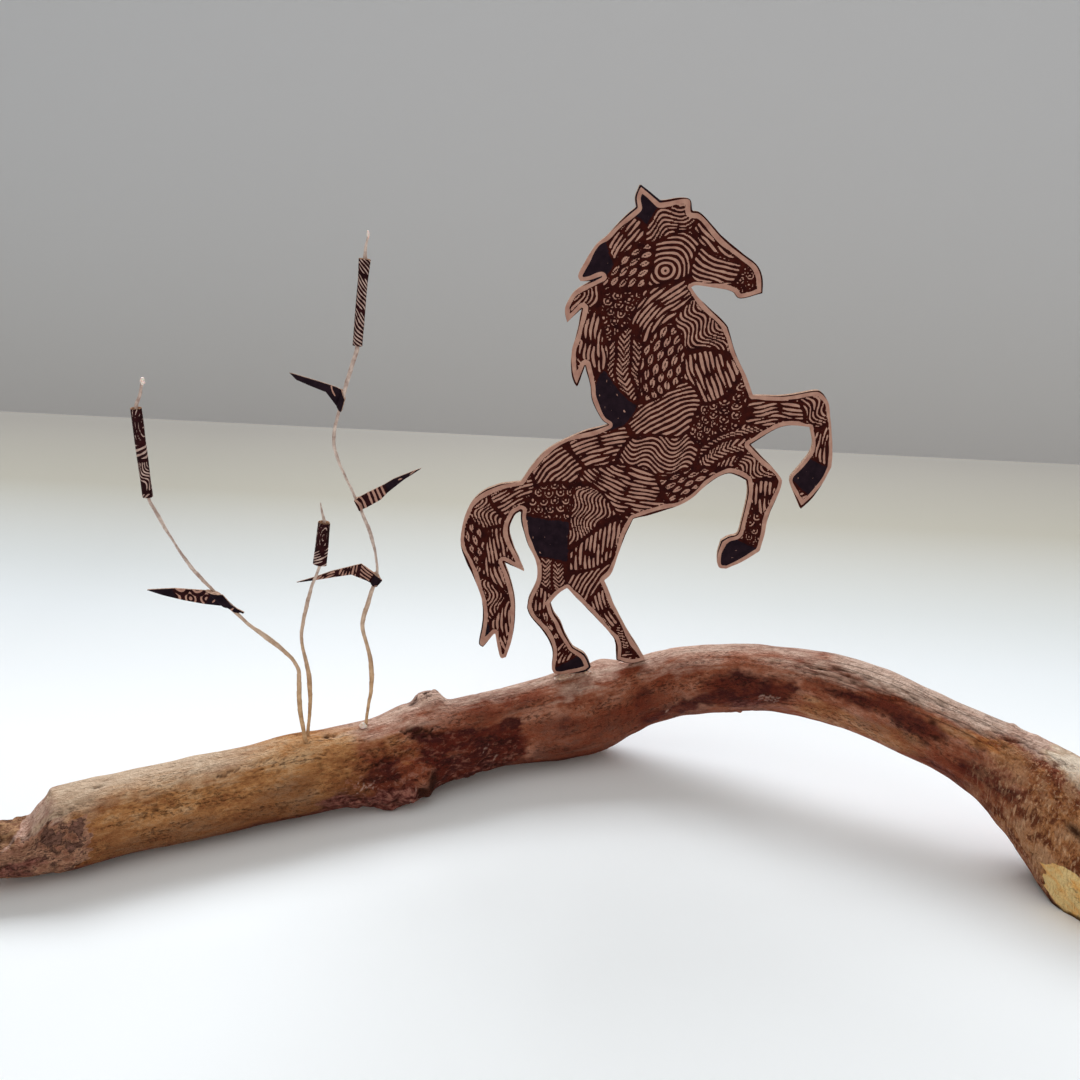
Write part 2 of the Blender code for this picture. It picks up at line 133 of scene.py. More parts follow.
def inside_distance(points, outline):
    """Distance from each point to a closed outline, positive inside and negative outside.

    The nearest point of a side is found by dropping a square line on it. A point is inside
    if a ray from it crosses the sides an odd number of times.
    """
    near = np.full(len(points), np.inf)
    crossings = np.zeros(len(points), bool)
    for a, b in zip(outline, np.roll(outline, -1, axis=0)):
        way = b - a
        share = np.clip((points - a) @ way / max(way @ way, 1e-12), 0.0, 1.0)
        near = np.minimum(near, np.linalg.norm(points - a - share[:, None] * way, axis=1))
        spans = (a[1] > points[:, 1]) != (b[1] > points[:, 1])
        reach = a[0] + way[0] * (points[:, 1] - a[1]) / (way[1] if way[1] else 1.0)
        crossings ^= spans & (points[:, 0] < reach)
    return np.where(crossings, near, -near)


# %% Noise
# Large odd numbers that scramble a cell's place and the seed into a number of 32 bits.
PLACE_KEYS, SEED_KEY = np.array([73856093, 19349663, 83492791]), 2654435
SCRAMBLES, ALL_BITS = ((13, 1274126177), (16, 2246822519)), 0xFFFFFFFF


def noise(points, size, seed):
    """Value noise from -1 to 1 in cells of a size in mm, one size for each axis.

    Each corner of a cell has a random number made from its place and the seed, and the
    eight corners are blended by 3t^2 - 2t^3 along each axis.
    """
    place = np.asarray(points, float) / np.asarray(size, float)
    cell = np.floor(place).astype(np.int64)
    t = smoothstep(0.0, 1.0, place - cell)
    total = np.zeros(place.shape[:-1])
    for corner in itertools.product((0, 1), repeat=place.shape[-1]):
        mixed = (cell + np.array(corner)) @ PLACE_KEYS[:len(corner)] + seed * SEED_KEY
        for shift, key in SCRAMBLES:
            mixed = (mixed ^ (mixed >> shift)) * key & ALL_BITS
        weight = np.prod(np.where(np.array(corner) == 1, t, 1.0 - t), axis=-1)
        total += weight * ((mixed >> 8 & 0xFFFF) / 32767.5 - 1.0)
    return total


# %% [markdown]
# ## From arrays to a piece
# Every piece starts as whole arrays of points and faces. A closed piece also gets the
# values that its material needs as attributes, its open rims are filled, and its faces
# are turned outwards. A thin sheet stays open, and gets its thickness from a modifier.

# %% Make a piece
def grid_faces(rows, columns, closed=True):
    """Four-cornered faces of a grid of points; closed joins its last column to its first."""
    here = np.arange(rows * columns).reshape(rows, columns)
    right = np.roll(here, -1, axis=1)
    if not closed:
        here, right = here[:, :-1], right[:, :-1]
    return np.stack([here[:-1], right[:-1], right[1:], here[1:]], axis=-1).reshape(-1, 4)


def new_mesh(name, points, faces, materials, which=None):
    """A mesh from points in drawing mm, faces as corner numbers, and a material for each."""
    mesh = bpy.data.meshes.new(name)
    mesh.from_pydata(in_metres(points).tolist(), [], [tuple(face) for face in faces])
    for material in materials:
        mesh.materials.append(material)
    if which is not None:
        mesh.polygons.foreach_set("material_index", np.asarray(which, np.int32))
    return mesh


def set_down(mesh):
    """The mesh as an object at the origin that rides on the work's one body."""
    piece = bpy.data.objects.new(mesh.name, mesh)
    bpy.context.scene.collection.objects.link(piece)
    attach(piece, "root")
    print(mesh.name, "has", len(mesh.vertices), "points and", len(mesh.polygons), "faces")
    return piece


def make_piece(name, points, faces, materials, which=None, smooth=True, values=None,
               below=False):
    """A closed piece. values are numbers or vectors for each point, for the material.

    below cuts the piece off at the table.
    """
    mesh = new_mesh(name, points, faces, materials, which)
    for title, value in (values or {}).items():
        value = np.asarray(value, np.float32)
        kind, field = ("FLOAT_VECTOR", "vector") if value.ndim == 2 else ("FLOAT", "value")
        mesh.attributes.new(title, kind, "POINT").data.foreach_set(field, value.ravel())
    bm = bmesh.new()
    bm.from_mesh(mesh)
    if below:
        bmesh.ops.bisect_plane(bm, geom=[*bm.verts, *bm.edges, *bm.faces], clear_outer=True,
                               plane_co=(0.0, 0.0, 0.0), plane_no=(0.0, 0.0, -1.0))
    rims = [edge for edge in bm.edges if edge.is_boundary]
    if rims:
        bmesh.ops.holes_fill(bm, edges=rims, sides=0)
    bmesh.ops.recalc_face_normals(bm, faces=bm.faces)
    for face in bm.faces:
        face.smooth = smooth
    bm.to_mesh(mesh)
    bm.free()
    return set_down(mesh)


# %% [markdown]
# ## Colours and nodes
# A colour is written as it looks on a screen, as a hex value, and one function turns it to
# the linear light that the shader works in. One helper adds a node, sets it and links it,
# and gives back the output that the next node needs.

# %% Colours and nodes
def linear(colour):
    """sRGB hex to linear: ((c + 0.055) / 1.055) ^ 2.4, or c / 12.92 where it is very dark."""
    c = np.array([int(colour[k:k + 2], 16) for k in (1, 3, 5)]) / 255.0
    c = np.where(c > 0.04045, ((c + 0.055) / 1.055) ** 2.4, c / 12.92)
    return (*c.tolist(), 1.0)


def fill(mat, node, inputs):
    """Sets each input to a value or a hex colour, or links it to another node's output."""
    for socket, value in inputs.items():
        if isinstance(value, bpy.types.NodeSocket):
            mat.node_tree.links.new(value, node.inputs[socket])
        else:
            node.inputs[socket].default_value = linear(value) if isinstance(value, str) else value


def add(mat, kind, inputs=(), take=0, ramp=(), **settings):
    """Adds a shader node and gives back one of its outputs.

    Inputs come in order, or in a dict by name or number. A ramp is its stops, each a place
    and a hex colour.
    """
    new = mat.node_tree.nodes.new("ShaderNode" + kind)
    for title, value in settings.items():
        setattr(new, title, value)
    fill(mat, new, inputs if isinstance(inputs, dict) else dict(enumerate(inputs)))
    for k, (place, colour) in enumerate(ramp):
        stop = new.color_ramp.elements[k] if k < 2 else new.color_ramp.elements.new(place)
        stop.position, stop.color = place, linear(colour)
    return new.outputs[take]


def new_material(name, all_over):
    """A material whose shader has these values all over, until a node changes one."""
    mat = bpy.data.materials.new(name)
    mat.use_nodes = True
    fill(mat, mat.node_tree.nodes["Principled BSDF"], all_over)
    return mat


def dress(mat, colour, relief=None, deep=0.0, strength=1.0):
    """Gives the shader a colour, and a relief of so many mm as bumps."""
    shader = mat.node_tree.nodes["Principled BSDF"]
    fill(mat, shader, {"Base Color": colour})
    if relief is not None:
        bumps = add(mat, "Bump", {"Height": relief, "Strength": strength, "Distance": deep * MM})
        fill(mat, shader, {"Normal": bumps})


# Numbers of a Mix node's colour sockets.
MIX, A, B, MIXED = 0, 6, 7, 2

# %% [markdown]
# ## The camera
# The work was seen from a little above, as a person at a table sees it: 20 degrees down,
# with a lens whose view is 50 degrees wide. The camera comes early so that a half-made
# scene can already be looked at.

# %% Camera
CAMERA_PLACE = (-6.0, -285.0, 185.5)
LOOKS_DOWN = 20.0
VIEW_WIDE = 50.0
SENSOR = 36.0

camera = bpy.data.objects.new("camera", bpy.data.cameras.new("camera"))
camera.location = in_metres(CAMERA_PLACE)
camera.rotation_euler = (math.radians(90.0 - LOOKS_DOWN), 0.0, 0.0)
camera.data.sensor_width = SENSOR
camera.data.lens = SENSOR / 2 / math.tan(math.radians(VIEW_WIDE / 2))
camera.data.clip_start = 10.0 * MM
bpy.context.scene.collection.objects.link(camera)
bpy.context.scene.camera = camera
print("lens of", round(camera.data.lens, 1), "mm")

# %% [markdown]
# ## The driftwood's form
# A found branch that water has worn: its bark is gone, its left end has broken along the
# grain and rotted, a twig's stump has swollen into a lump, and its right end was sawn. It
# could be sculpted, or scanned. Here it is a loft: a heart line with a half width, a
# height and a depth at each station, the same ones as the solid's. Lumps are added later
# where they were seen, given by their place along the wood and their angle round it.

# %% Driftwood rings
# x, y, z of the heart, half width, height above the heart, depth below it.
WOOD = [
    (-158.5, -37.5, 9.6, 5, 4.6, 5.6),
    (-151.5, -34.5, 9.8, 7, 5.2, 7),
    (-145.5, -32, 9.6, 8.4, 5, 8.2),
    (-140, -29.8, 9.4, 9.3, 4.4, 9),
    (-137.5, -28.8, 9.6, 9.7, 5.2, 9.4),
    (-134.5, -27.6, 10, 10, 8.4, 9.9),
    (-132, -26.6, 10.1, 10.3, 11.6, 10.2),
    (-128, -24.6, 10.3, 10.6, 12, 10.3),
    (-113.5, -17.5, 10.7, 10.8, 11.3, 10.5),
    (-84, -5, 11.3, 11.1, 11.2, 11.2),
    (-68.5, 1.5, 11.6, 11.1, 11.2, 11.6),
    (-52.5, 8.5, 11.6, 11.3, 11.2, 11.6),
    (-35.5, 16, 12.3, 11.5, 11.4, 11.6),
    (-18, 23.5, 13.3, 11.4, 11.4, 12),
    (0, 30, 13.8, 12.6, 12.6, 14),
    (9.5, 32.5, 15.4, 12.8, 12.4, 14.2),
    (18.5, 33.3, 18.2, 11.9, 10.5, 11.6),
    (27.5, 33, 21.2, 10.8, 10.2, 10.4),
    (39.5, 31, 25.2, 10.5, 10.4, 10.3),
    (59, 23.5, 29.9, 9.9, 9.9, 9.9),
    (79, 13, 30.9, 9.6, 9.7, 9.6),
    (96, 1.5, 28.2, 9.4, 9.9, 9.6),
    (108, -8, 26.2, 9.8, 9.8, 9.8),
    (117.8, -16.5, 22.9, 11.2, 11.2, 11),
    (125.2, -25, 18.4, 13, 15.6, 13),
    (131.2, -33, 13.2, 14.6, 18.2, 14.6),
    (135.4, -39, 8.2, 15.2, 18.6, 15),
    (138.8, -44, 3.2, 14.4, 16.4, 14.2),
    (141.6, -48.5, -2.5, 12, 12.8, 12),
    (143.4, -52, -7.5, 8, 8, 8),
]
HEART_STEPS = 24
RINGS = 740
# The sides lie closer together between two angles, where the wood faces the viewer.
NEAR_SIDES, FAR_SIDES = 82, 46
NEAR_FROM, NEAR_TO = -60.0, 130.0
print("heart line of", len(WOOD), "stations")

# %% The loft
def wood_rings():
    """Points of the plain loft, the way out from the heart, radius, x, angle and grain.

    A point is the heart plus an arm: half width * cos(angle) sideways, and height or depth
    * sin(angle) upwards. An angle of 0 faces the viewer and 90 is up. The grain's
    coordinates are those of the same wood laid out straight: the run along the heart, and
    the radius turned by the angle.
    """
    path = even_path(smooth_path(WOOD, HEART_STEPS), RINGS)
    heart, size = path[:, None, :3], path[:, None, 3:]
    angle = np.concatenate([
        np.linspace(NEAR_FROM, NEAR_TO, NEAR_SIDES, endpoint=False),
        np.linspace(NEAR_TO, NEAR_FROM + 360.0, FAR_SIDES, endpoint=False)])[None, :]
    ahead = unit(np.gradient(path[:, :3], axis=0))[:, None, :]
    side = unit(np.cross(ahead, UP))
    top = unit(np.cross(side, ahead))
    cos, sin = np.cos(np.radians(angle))[..., None], np.sin(np.radians(angle))[..., None]
    rise = np.where(sin > 0.0, size[..., 1:2], size[..., 2:])
    arm = side * size[..., :1] * cos + top * rise * sin
    radius = np.linalg.norm(arm, axis=-1)
    x, angle, run = np.broadcast_arrays(heart[..., 0], angle, path_lengths(path)[:, None])
    grain = np.stack([run, radius * cos[..., 0], radius * sin[..., 0]], axis=-1)
    return heart + arm, unit(arm), radius, x, angle, grain


wood_loft, wood_out, wood_radius, wood_x, wood_angle, wood_grain = wood_rings()
print("wood rings", wood_loft.shape[0], "of", wood_loft.shape[1], "points")

# %% [markdown]
# ## Lumps, pits and cracks
# The knots, stumps and pits are bell curves added to the loft, and the cracks are grooves
# along short lines. They could be sculpted by hand, but as rows of a table each one can be
# moved until it sits where it was seen.

# %% Lumps and cracks
# Place along x, angle round the wood, height, reach along the wood, reach round it in
# degrees.
LUMPS = [
    (-50.5, -38, 4, 8.5, 30), (-43.5, -24, 2.6, 3.2, 20), (-42.5, 108, 2.2, 6.5, 34),
    (-36.4, 112, 3.6, 3.6, 28), (16.5, 118, 1.4, 3.6, 24), (-76, 105, 0.9, 7, 35),
    (50, -88, 0.9, 2.6, 14), (119, 86, 0.8, 7, 40), (-98, 20, -0.5, 14, 40),
    (-20, 10, -0.7, 9, 45), (34, 30, -0.4, 12, 40), (90, 105, 1.1, 11, 45),
    (104, 190, -0.8, 9, 50), (-75, 175, -0.8, 16, 45),
]
# Small lumps and pits that only this finer surface shows, in the same terms.
SMALL_LUMPS = [
    (-41.8, -20, -1.3, 1.8, 18), (-47, -64, 1.7, 3.2, 14), (-45, -27, -2.1, 1.3, 8),
    (-46.2, -44, -1.3, 0.9, 7), (-47.2, -26, 0.9, 0.9, 7), (-48.4, -24, 0.9, 1.3, 7),
    (-52, -30, -0.8, 1.4, 7), (-41.4, 108, -0.5, 1.7, 18), (-33.8, 108, 1, 1.5, 18),
    (-36.6, 106, -0.4, 1.4, 9), (-39.2, 112, 0.5, 1, 12), (-34, 112, 0.6, 0.9, 12),
    (-66.4, 84, -1.3, 0.9, 4.5), (-64.6, 82, -0.9, 0.7, 4), (-83, 83, -0.4, 1.2, 5),
    (-122, 81, -0.9, 1.8, 2.4), (-120, 93, -0.8, 1.4, 2.4), (-110, 30, -0.4, 1.8, 6),
    (103, 79, -0.9, 1.4, 6), (103.5, 88, 0.4, 3, 12), (103, 40, -0.9, 1, 5),
    (105, 20, -0.9, 1.4, 5), (103, -3, -0.5, 1, 5), (107, 38, -0.5, 0.9, 4),
    (115, 107, 0.7, 1.1, 7), (119, 107, 0.6, 0.9, 7), (121.5, 104, 0.4, 0.8, 6),
    (131, 35, -1.3, 1.4, 4), (131.2, 41, 0.5, 1.6, 4), (-141, 55, 1.5, 1.5, 26),
    (-147, 60, -1.3, 3.2, 18), (52.5, -86, 1, 1, 6),
]
# Cracks: where one starts and ends (x, angle), and its half width and depth in mm.
CRACKS = [
    (-96, 51, -88, 61, 0.8, 0.5), (-88, 60, -80, 63, 0.7, 0.4), (-101, 38, -84, 42, 0.7, 0.3),
    (-83, 8, -72, 12, 0.6, 0.3), (-64, 36, -52, 44, 0.7, 0.4), (-47.6, 62, -39, 52, 1.3, 0.7),
    (-45, 50, -36, 43, 1, 0.5), (-50.5, 28, -43, 33, 0.7, 0.4), (-40.8, 112, -33.6, 106, 0.9, 0.9),
    (-39.2, 101, -35.6, 99, 0.7, 0.5), (-60, 18, -50, 32, 0.9, 0.6), (72, 58, 95, 62, 0.7, 0.4),
    (74, 48, 99, 52, 0.7, 0.4), (79, 68, 104, 66, 0.7, 0.3), (95, 56, 118, 62, 0.7, 0.4),
    (113, 71, 125, 80, 0.8, 0.5), (106, 76, 120, 84, 0.7, 0.4), (108, 46, 124, 54, 0.6, 0.3),
    (135.5, 3, 138, -4, 0.6, 0.5),
]
print(len(LUMPS), "lumps,", len(SMALL_LUMPS), "small ones and", len(CRACKS), "cracks")

# %% Heights and depths
# A crack strays from its line by two sine waves (degrees, radians from end to end), and
# keeps a share of its width at its ends.
CRACK_WAVES = [(2.0, 17.0), (1.2, 41.0)]
CRACK_END = 0.35


def turn_from(middle, angle):
    """Degrees from one angle to another, the short way round."""
    return (angle - middle + 180.0) % 360.0 - 180.0


def lump_height(x, angle, lumps):
    """Sum of height * exp(-(dx / reach)^2 - (turn / spread)^2) over the lumps."""
    total = np.zeros(x.shape)
    for at_x, at_angle, height, reach, spread in lumps:
        turn = turn_from(at_angle, angle)
        total += height * np.exp(-((x - at_x) / reach) ** 2 - (turn / spread) ** 2)
    return total


def crack_depth(cracks):
    """Depth * (1 - distance / half width), where the distance is to the crack's own line.

    The line wanders a little, and thins out towards both of its ends.
    """
    total = np.zeros(wood_x.shape)
    for x0, a0, x1, a1, width, depth in cracks:
        share = np.clip((wood_x - x0) / (x1 - x0), 0.0, 1.0)
        wander = sum(sway * np.sin(share * radians + start)
                     for (sway, radians), start in zip(CRACK_WAVES, (x0, a0)))
        turn = turn_from(a0, wood_angle - (a1 - a0) * share - wander)
        past = wood_x - np.clip(wood_x, x0, x1)
        away = np.hypot(np.radians(turn) * wood_radius, past)
        bulge = np.sqrt(np.maximum(4.0 * share * (1.0 - share), 0.0))
        half = width * (CRACK_END + (1.0 - CRACK_END) * bulge)
        total = np.maximum(total, depth * np.clip(1.0 - away / half, 0.0, 1.0))
    return total


wood_cracks = crack_depth(CRACKS)
wood_small = lump_height(wood_x, wood_angle, SMALL_LUMPS)
print("deepest crack", wood_cracks.max().round(2), "mm, deepest pit", wood_small.min().round(2))

# %% [markdown]
# ## Where the wood changes
# The colours of old wood lie in areas: golden where it is sound, maroon where it was wet,
# grey or pale where the sun took it, crusted where bark held on. The underside's area is
# painted shade that darkens the lower half, and the palest part is a painted highlight on
# the foot's top edge. Most areas are stretches along the wood and round it. Some stains
# have an outline of their own, and there are a few light scratches. Noise makes the areas'
# edges ragged here, and the material breaks them up further.

# %% Areas of the wood
# x from, x to, angle from, angle to, fade left, fade right, fade round, strength.
AREAS = {
    "maroon": [(-13, 40, -70, 28, 5, 9, 22, 0.6), (-44, -8, 36, 62, 6, 8, 14, 0.5),
        (118, 130, -24, 24, 6, 5, 16, 0.35), (96, 118, -60, -24, 9, 6, 12, 0.6),
        (-146, -118, -110, -42, 9, 14, 12, 0.8), (-100, -58, -130, -34, 16, 9, 18, 0.75),
        (-64, 8, -130, -36, 8, 9, 14, 0.85), (-68, -14, -60, -10, 5, 3, 9, 0.8),
        (8, 70, -130, -38, 9, 5, 14, 0.6), (-43, -15, -60, 16, 3, 4, 9, 1.1),
        (85, 102, -20, 12, 5, 6, 9, 0.55)],
    "golden": [(-131, -60, -44, 150, 3, 9, 18, 1), (-60, -44, 22, 60, 9, 7, 14, 0.5),
        (72, 104, -50, 6, 7, 8, 12, 0.45), (104, 126, 30, 60, 8, 8, 12, 0.6),
        (124, 150, -30, 60, 5, 2, 16, 0.65)],
    "ochre": [(-51, -45, 8, 20, 2.5, 2.5, 6, 0.45), (112, 150, -70, 60, 7, 2, 20, 0.42)],
    "grey": [(-140.5, -130, 30, 150, 1.5, 7, 10, 0.8), (-66, 12, 78, 160, 14, 8, 16, 0.8),
        (-62, -22, 56, 80, 8, 8, 10, 0.5), (-3, 14, 50, 74, 4, 6, 10, 0.7),
        (8, 74, 66, 160, 8, 8, 16, 0.8), (62, 88, 42, 64, 9, 8, 9, 0.62),
        (28, 52, 38, 66, 10, 8, 10, 0.5), (74, 118, 62, 160, 8, 6, 16, 1.1),
        (104, 128, 70, 140, 4, 5, 12, 0.9)],
    # The first pale row, stronger than 1, is a painted highlight on the foot's top edge.
    "pale": [(122.5, 130, 72, 110, 2.5, 3, 9, 1.6), (-134, -84, 54, 150, 5, 16, 26, 1.05),
        (-137, -127, 46, 62, 2, 3, 6, 1), (-118, -92, -56, -46, 9, 9, 4, 0.6)],
    # The underside rows are painted shade: they darken the wood's lower half.
    "underside_shade": [(-126, -50, -150, 2, 6, 10, 22, 1), (-90, -70, -60, 24, 9, 5, 16, 0.9),
        (-130, -116, -60, 24, 5, 6, 14, 0.7)],
    "rough": [(-150, -127, -40, 60, 4, 2, 9, 0.9), (-66, -42, -60, 6, 5, 3, 10, 1.3),
        (-58, -30, -6, 46, 4, 4, 8, 0.6), (-44, -14, -56, 10, 4, 4, 10, 1),
        (-49, -43, -60, -14, 2, 2, 8, 1.4)],
    "purple": [(-72, -42, -64, -14, 5, 5, 9, 0.9), (-44, -14, -56, -22, 5, 6, 9, 0.45),
        (48, 71, -44, -20, 9, 3, 9, 0.55), (104, 120, -50, -16, 6, 8, 10, 0.6),
        (-146, -112, -64, -38, 8, 12, 7, 0.6), (-150, -137, -46, 2, 4, 3, 9, 0.85)],
    "rotten": [(-170, -139.5, 40, 178, 1, 1.2, 14, 1)],
    "fibrous": [(117, 150, -90, 80, 8, 2, 20, 1)],
    "lined": [(72, 116, 40, 110, 6, 6, 12, 0.7), (-40, 4, 76, 120, 8, 8, 12, 0.35)],
}
# x, angle, strength, reach along the wood, reach round it.
MAROON_SPOTS = [
    (12, 33, 0.35, 4, 7), (-3, 16, 0.3, 5, 10), (27, -32, 0.5, 7, 16), (75.5, 3, 0.35, 2, 5),
    (104, -3, 0.5, 3, 7), (-88, 10, 0.16, 8, 10), (-75, -12, 0.25, 7, 8), (-64, 2, 0.3, 5, 5),
    (86, 60, 0.2, 9, 7), (-10, 60, 0.2, 7, 8), (52, 48, 0.25, 7, 7), (-30, 66, 0.25, 9, 8),
]
print("areas of", len(AREAS), "kinds and", len(MAROON_SPOTS), "maroon spots")

# %% Stains and scratches
# Stains with a shape of their own: how far the edge fades in mm, strength, and the outline
# as x and angle.
STAINS = {
    "maroon": [
        (1.5, 1.2, [(-47, 58), (-43, 60), (-40, 50), (-34, 44), (-27.5, 38), (-21.5, 40),
         (-17, 42), (-14.5, 34), (-14.7, 12), (-13.3, -14), (-14.7, -31), (-21, -25), (-24.7, -7),
         (-28.3, 12), (-33, 10), (-37, 13), (-40, -2), (-44, 5), (-44.4, 26), (-41.7, 37),
         (-45, 49)]),
        (1.2, 0.9, [(-57, 21), (-54.3, 28), (-50.2, 28), (-49.8, 21), (-50.7, 7), (-48.9, -7),
         (-51.6, -11), (-54.7, -14), (-57.9, -14), (-60.1, -4), (-60.6, 5)]),
        (2.6, 0.75, [(23.4, 35), (26.6, 40), (29.8, 28), (30.3, 12), (28.5, -34), (22.7, -38),
         (22, 0), (21.5, 19)]),
        (2.2, 0.6, [(6.6, 12), (10.8, 14), (15, 5), (15, -14), (10.8, -16), (7, -9)]),
        (2.2, 1, [(45.3, 22), (51.5, 28), (55.5, 38), (60.8, 28), (65.6, 24), (70.4, 27),
         (71.3, 12), (70.9, -7), (65.6, -25), (57.3, -41), (49.7, -30), (44.4, -28), (38, -42),
         (31, -38), (33, -12), (44.4, -2), (47.5, 10)]),
        (1.8, 0.95, [(71.3, 37), (79, 33), (86, 36), (92.7, 47), (97, 49), (100.9, 42),
         (105.1, 36), (106.9, 33), (105.4, 14), (102, 8), (97, 8), (93.5, 19), (89.2, 16),
         (82.3, 14), (78.1, 23)]),
        (2, 0.95, [(109.2, 5), (111.4, 19), (114.3, 21), (118.1, 28), (121.5, 23), (123.2, 26),
         (123.2, 12), (121.5, -2), (118.4, -4), (115, -11), (111, -16)]),
    ],
    "ochre": [
        (2, 0.9, [(110.6, 51), (113.2, 62), (116.4, 60), (117.1, 49), (114.6, 37), (112.1, 35)]),
        (2, 0.6, [(121.2, 56), (122.7, 67), (125.2, 60), (126, 49), (124.1, 42)]),
    ],
    "crust": [
        (1, 1, [(-152, 44), (-142, 60), (-136, 50), (-130.5, 41), (-125.7, 42), (-124.8, 30),
         (-125.7, 14), (-126.6, -11), (-129.2, -34), (-131, -52), (-136, -74), (-152, -80)]),
    ],
    "flake": [
        (1.2, 1, [(-136, 47), (-133.6, 47), (-131.4, 33), (-130.1, 34), (-127.4, 40), (-126.1, 30),
         (-126.1, 19), (-126.6, 10), (-128.7, 5), (-130.5, -14), (-132.3, -14), (-134.5, 12),
         (-136, 36)]),
    ],
}
# Light scratches: where one starts and ends (x, angle), its half width and strength.
SCRATCHES = [
    (-61.4, -16, -61, 4, 0.7, 0.9), (-57.4, -16, -57, 2, 0.7, 0.9), (-61, -6, -57, -7, 0.6, 0.8),
    (61, -8, 67, -9, 0.8, 0.55), (60.5, -15, 66.5, -16, 0.7, 0.45), (31, -28, 32.5, -20, 0.7, 0.5),
    (-27, 2, -25, 8, 0.6, 0.5), (-24, -20, -22.5, -14, 0.7, 0.6),
    (-144.2, 30, -138.5, 90, 0.9, 0.7), (-46.9, -38, -46.6, -14, 0.6, 0.7),
    (-43.4, -38, -43.2, -14, 0.6, 0.6), (-47, -52, -44, -50, 0.6, 0.6),
    (-48.6, -30, -48, -20, 0.5, 0.5),
]
print(sum(map(len, STAINS.values())), "stains and", len(SCRATCHES), "scratches")

# %% Every point's areas
# Noise that moves the areas' edges, in mm along the wood and in degrees round it: amount,
# cell along the grain, cell across it, seed.
RAGGED_X, RAGGED_ANGLE = [(2.6, 7, 4, 11), (1.8, 2.8, 1.9, 12)], [(11, 9, 5, 13), (5, 2.8, 1.6, 14)]
FRAYED_X = [(1.5, 3, 1.4, 15), (1.1, 1.1, 0.7, 16)]
FRAYED_ANGLE = [(6, 3, 1.4, 17), (4, 1.2, 0.7, 18)]
# Millimetres along the surface for one degree round the wood.
DEGREE = 0.19


def uneven(value, rows):
    """A value plus amount * noise for each row, in cells that lie along the grain."""
    for amount, along, across, seed in rows:
        value = value + amount * noise(wood_grain, (along, across, across), seed)
    return value


def zone(x, angle, areas):
    """The largest of the areas' values: each is flat inside and fades across its bounds."""
    total = np.zeros(x.shape)
    for x0, x1, a0, a1, left, right, around, strength in areas:
        starts, ends = smoothstep(x0 - left, x0 + left, x), smoothstep(x1 - right, x1 + right, x)
        half = (a1 - a0) / 2
        turn = np.abs(turn_from((a0 + a1) / 2, angle))
        inside = 1.0 - smoothstep(half - around, half + around, turn)
        total = np.maximum(total, strength * (starts * (1.0 - ends)) * inside)
    return total


def patches(x, angle, stains):
    """The strongest stain: strength * smoothstep(-fade, fade, distance inside its outline)."""
    total = np.zeros(x.shape)
    here = np.stack([x.ravel(), DEGREE * angle.ravel()], axis=1)
    for fade, strength, outline in stains:
        inside = inside_distance(here, np.array(outline) * [1.0, DEGREE])
        total = np.maximum(total, strength * smoothstep(-fade, fade, inside).reshape(x.shape))
    return total


def wood_areas():
    """The strength of every area at every point."""
    ragged = uneven(wood_x, RAGGED_X), uneven(wood_angle, RAGGED_ANGLE)
    frayed = uneven(wood_x, FRAYED_X), uneven(wood_angle, FRAYED_ANGLE)
    area = {title: zone(*ragged, rows) for title, rows in AREAS.items()}
    area["maroon"] += lump_height(*ragged, MAROON_SPOTS)
    for title, stains in STAINS.items():
        area[title] = np.maximum(area.get(title, 0.0), patches(*frayed, stains))
    area["scratch"] = crack_depth(SCRATCHES)
    return area


wood_values = wood_areas()
print("areas:", ", ".join(wood_values))

# %% [markdown]
# ## Relief, hollow and saw cut
# The loft takes its lumps, cracks and a relief that runs with the grain, with coarser
# crumbs where the wood is rough or rotten and fibres at the foot. Then the broken end is
# hollowed from above, the foot is cut off by a plane, and the underside is settled on the
# table. Cutting tools could do these, but moving the points keeps one even surface.

# %% Driftwood surface
# Relief in mm, all over and in some areas: height, cell along the grain, cell across it,
# seed. The rows with one seed and one size of cell rise and fall together.
CRUMBS = (1.7, 1.2, 21)
RELIEF = [(0.34, 16, 8, 24), (0.16, 5, 3, 25), (0.11, 12, 1.4, 26), (0.06, 6, 0.9, 23)]
AREA_RELIEF = {
    "rough": [(0.5, 2.8, 1.9, 22), (0.6, *CRUMBS)],
    "rotten": [(0.6, *CRUMBS), (0.6, 4, 2.5, 28)],
    "fibrous": [(0.16, 6, 0.9, 23), (0.12, 9, 1.1, 29)],
}
# Pits and the rows that most of them lie in, in the same terms, and the share of a pit's
# depth that it has outside the rows.
PITS, PIT_ROWS, STRAY_PIT = (1, 1.9, 1, 27), (1, 22, 3.5, 30), 0.3
PIT_DEPTH, ROUGH_PIT_DEPTH, CRUST_GAP_DEPTH = 0.34, 0.2, 0.3
# Values of the noise between which a pit, a row of pits and a gap in the crust deepen.
PIT_EDGE, ROW_EDGE, GAP_EDGE = (0.35, 0.8), (0.0, 0.5), (0.0, 0.3)
# The rotten hollow is the lower half of an ellipsoid: its middle and its half sizes.
ROT_HOLLOW, ROT_HOLLOW_SIZE = np.array([-160.0, -36.0, 12.5]), np.array([17.0, 9.0, 6.0])
HOLLOW_CRUMBS = 0.5
# The saw's plane, and the waves that its teeth left: radians per mm and height.
SAW_POINT, SAW_NORMAL = np.array([129.4, -54.1, 5.0]), unit(np.array([-0.80, -0.58, -0.14]))
SAW_WAVES, SAW_WAVE_HEIGHT, SAW_BUMPS = np.array([1.6, -0.9, 2.4]), 0.07, 0.1
FOOT_FROM = 118.0
# The wood left of here lies on the table, bedded in by a soft bend of a height in mm.
BEDDED_TO, BED_HEIGHT, BED_SOFT = 100.0, 0.05, 0.12
# How much each of these darkens the wood, as painted shade in the cracks and pits and
# where the foot meets the table, and the share of that shade taken off the saw cut.
PAINTED_SHADE, SAWN_SPARED = {"crack": 1.3, "pit": 0.45, "small": 0.75, "rim_shade": 0.8}, 0.9
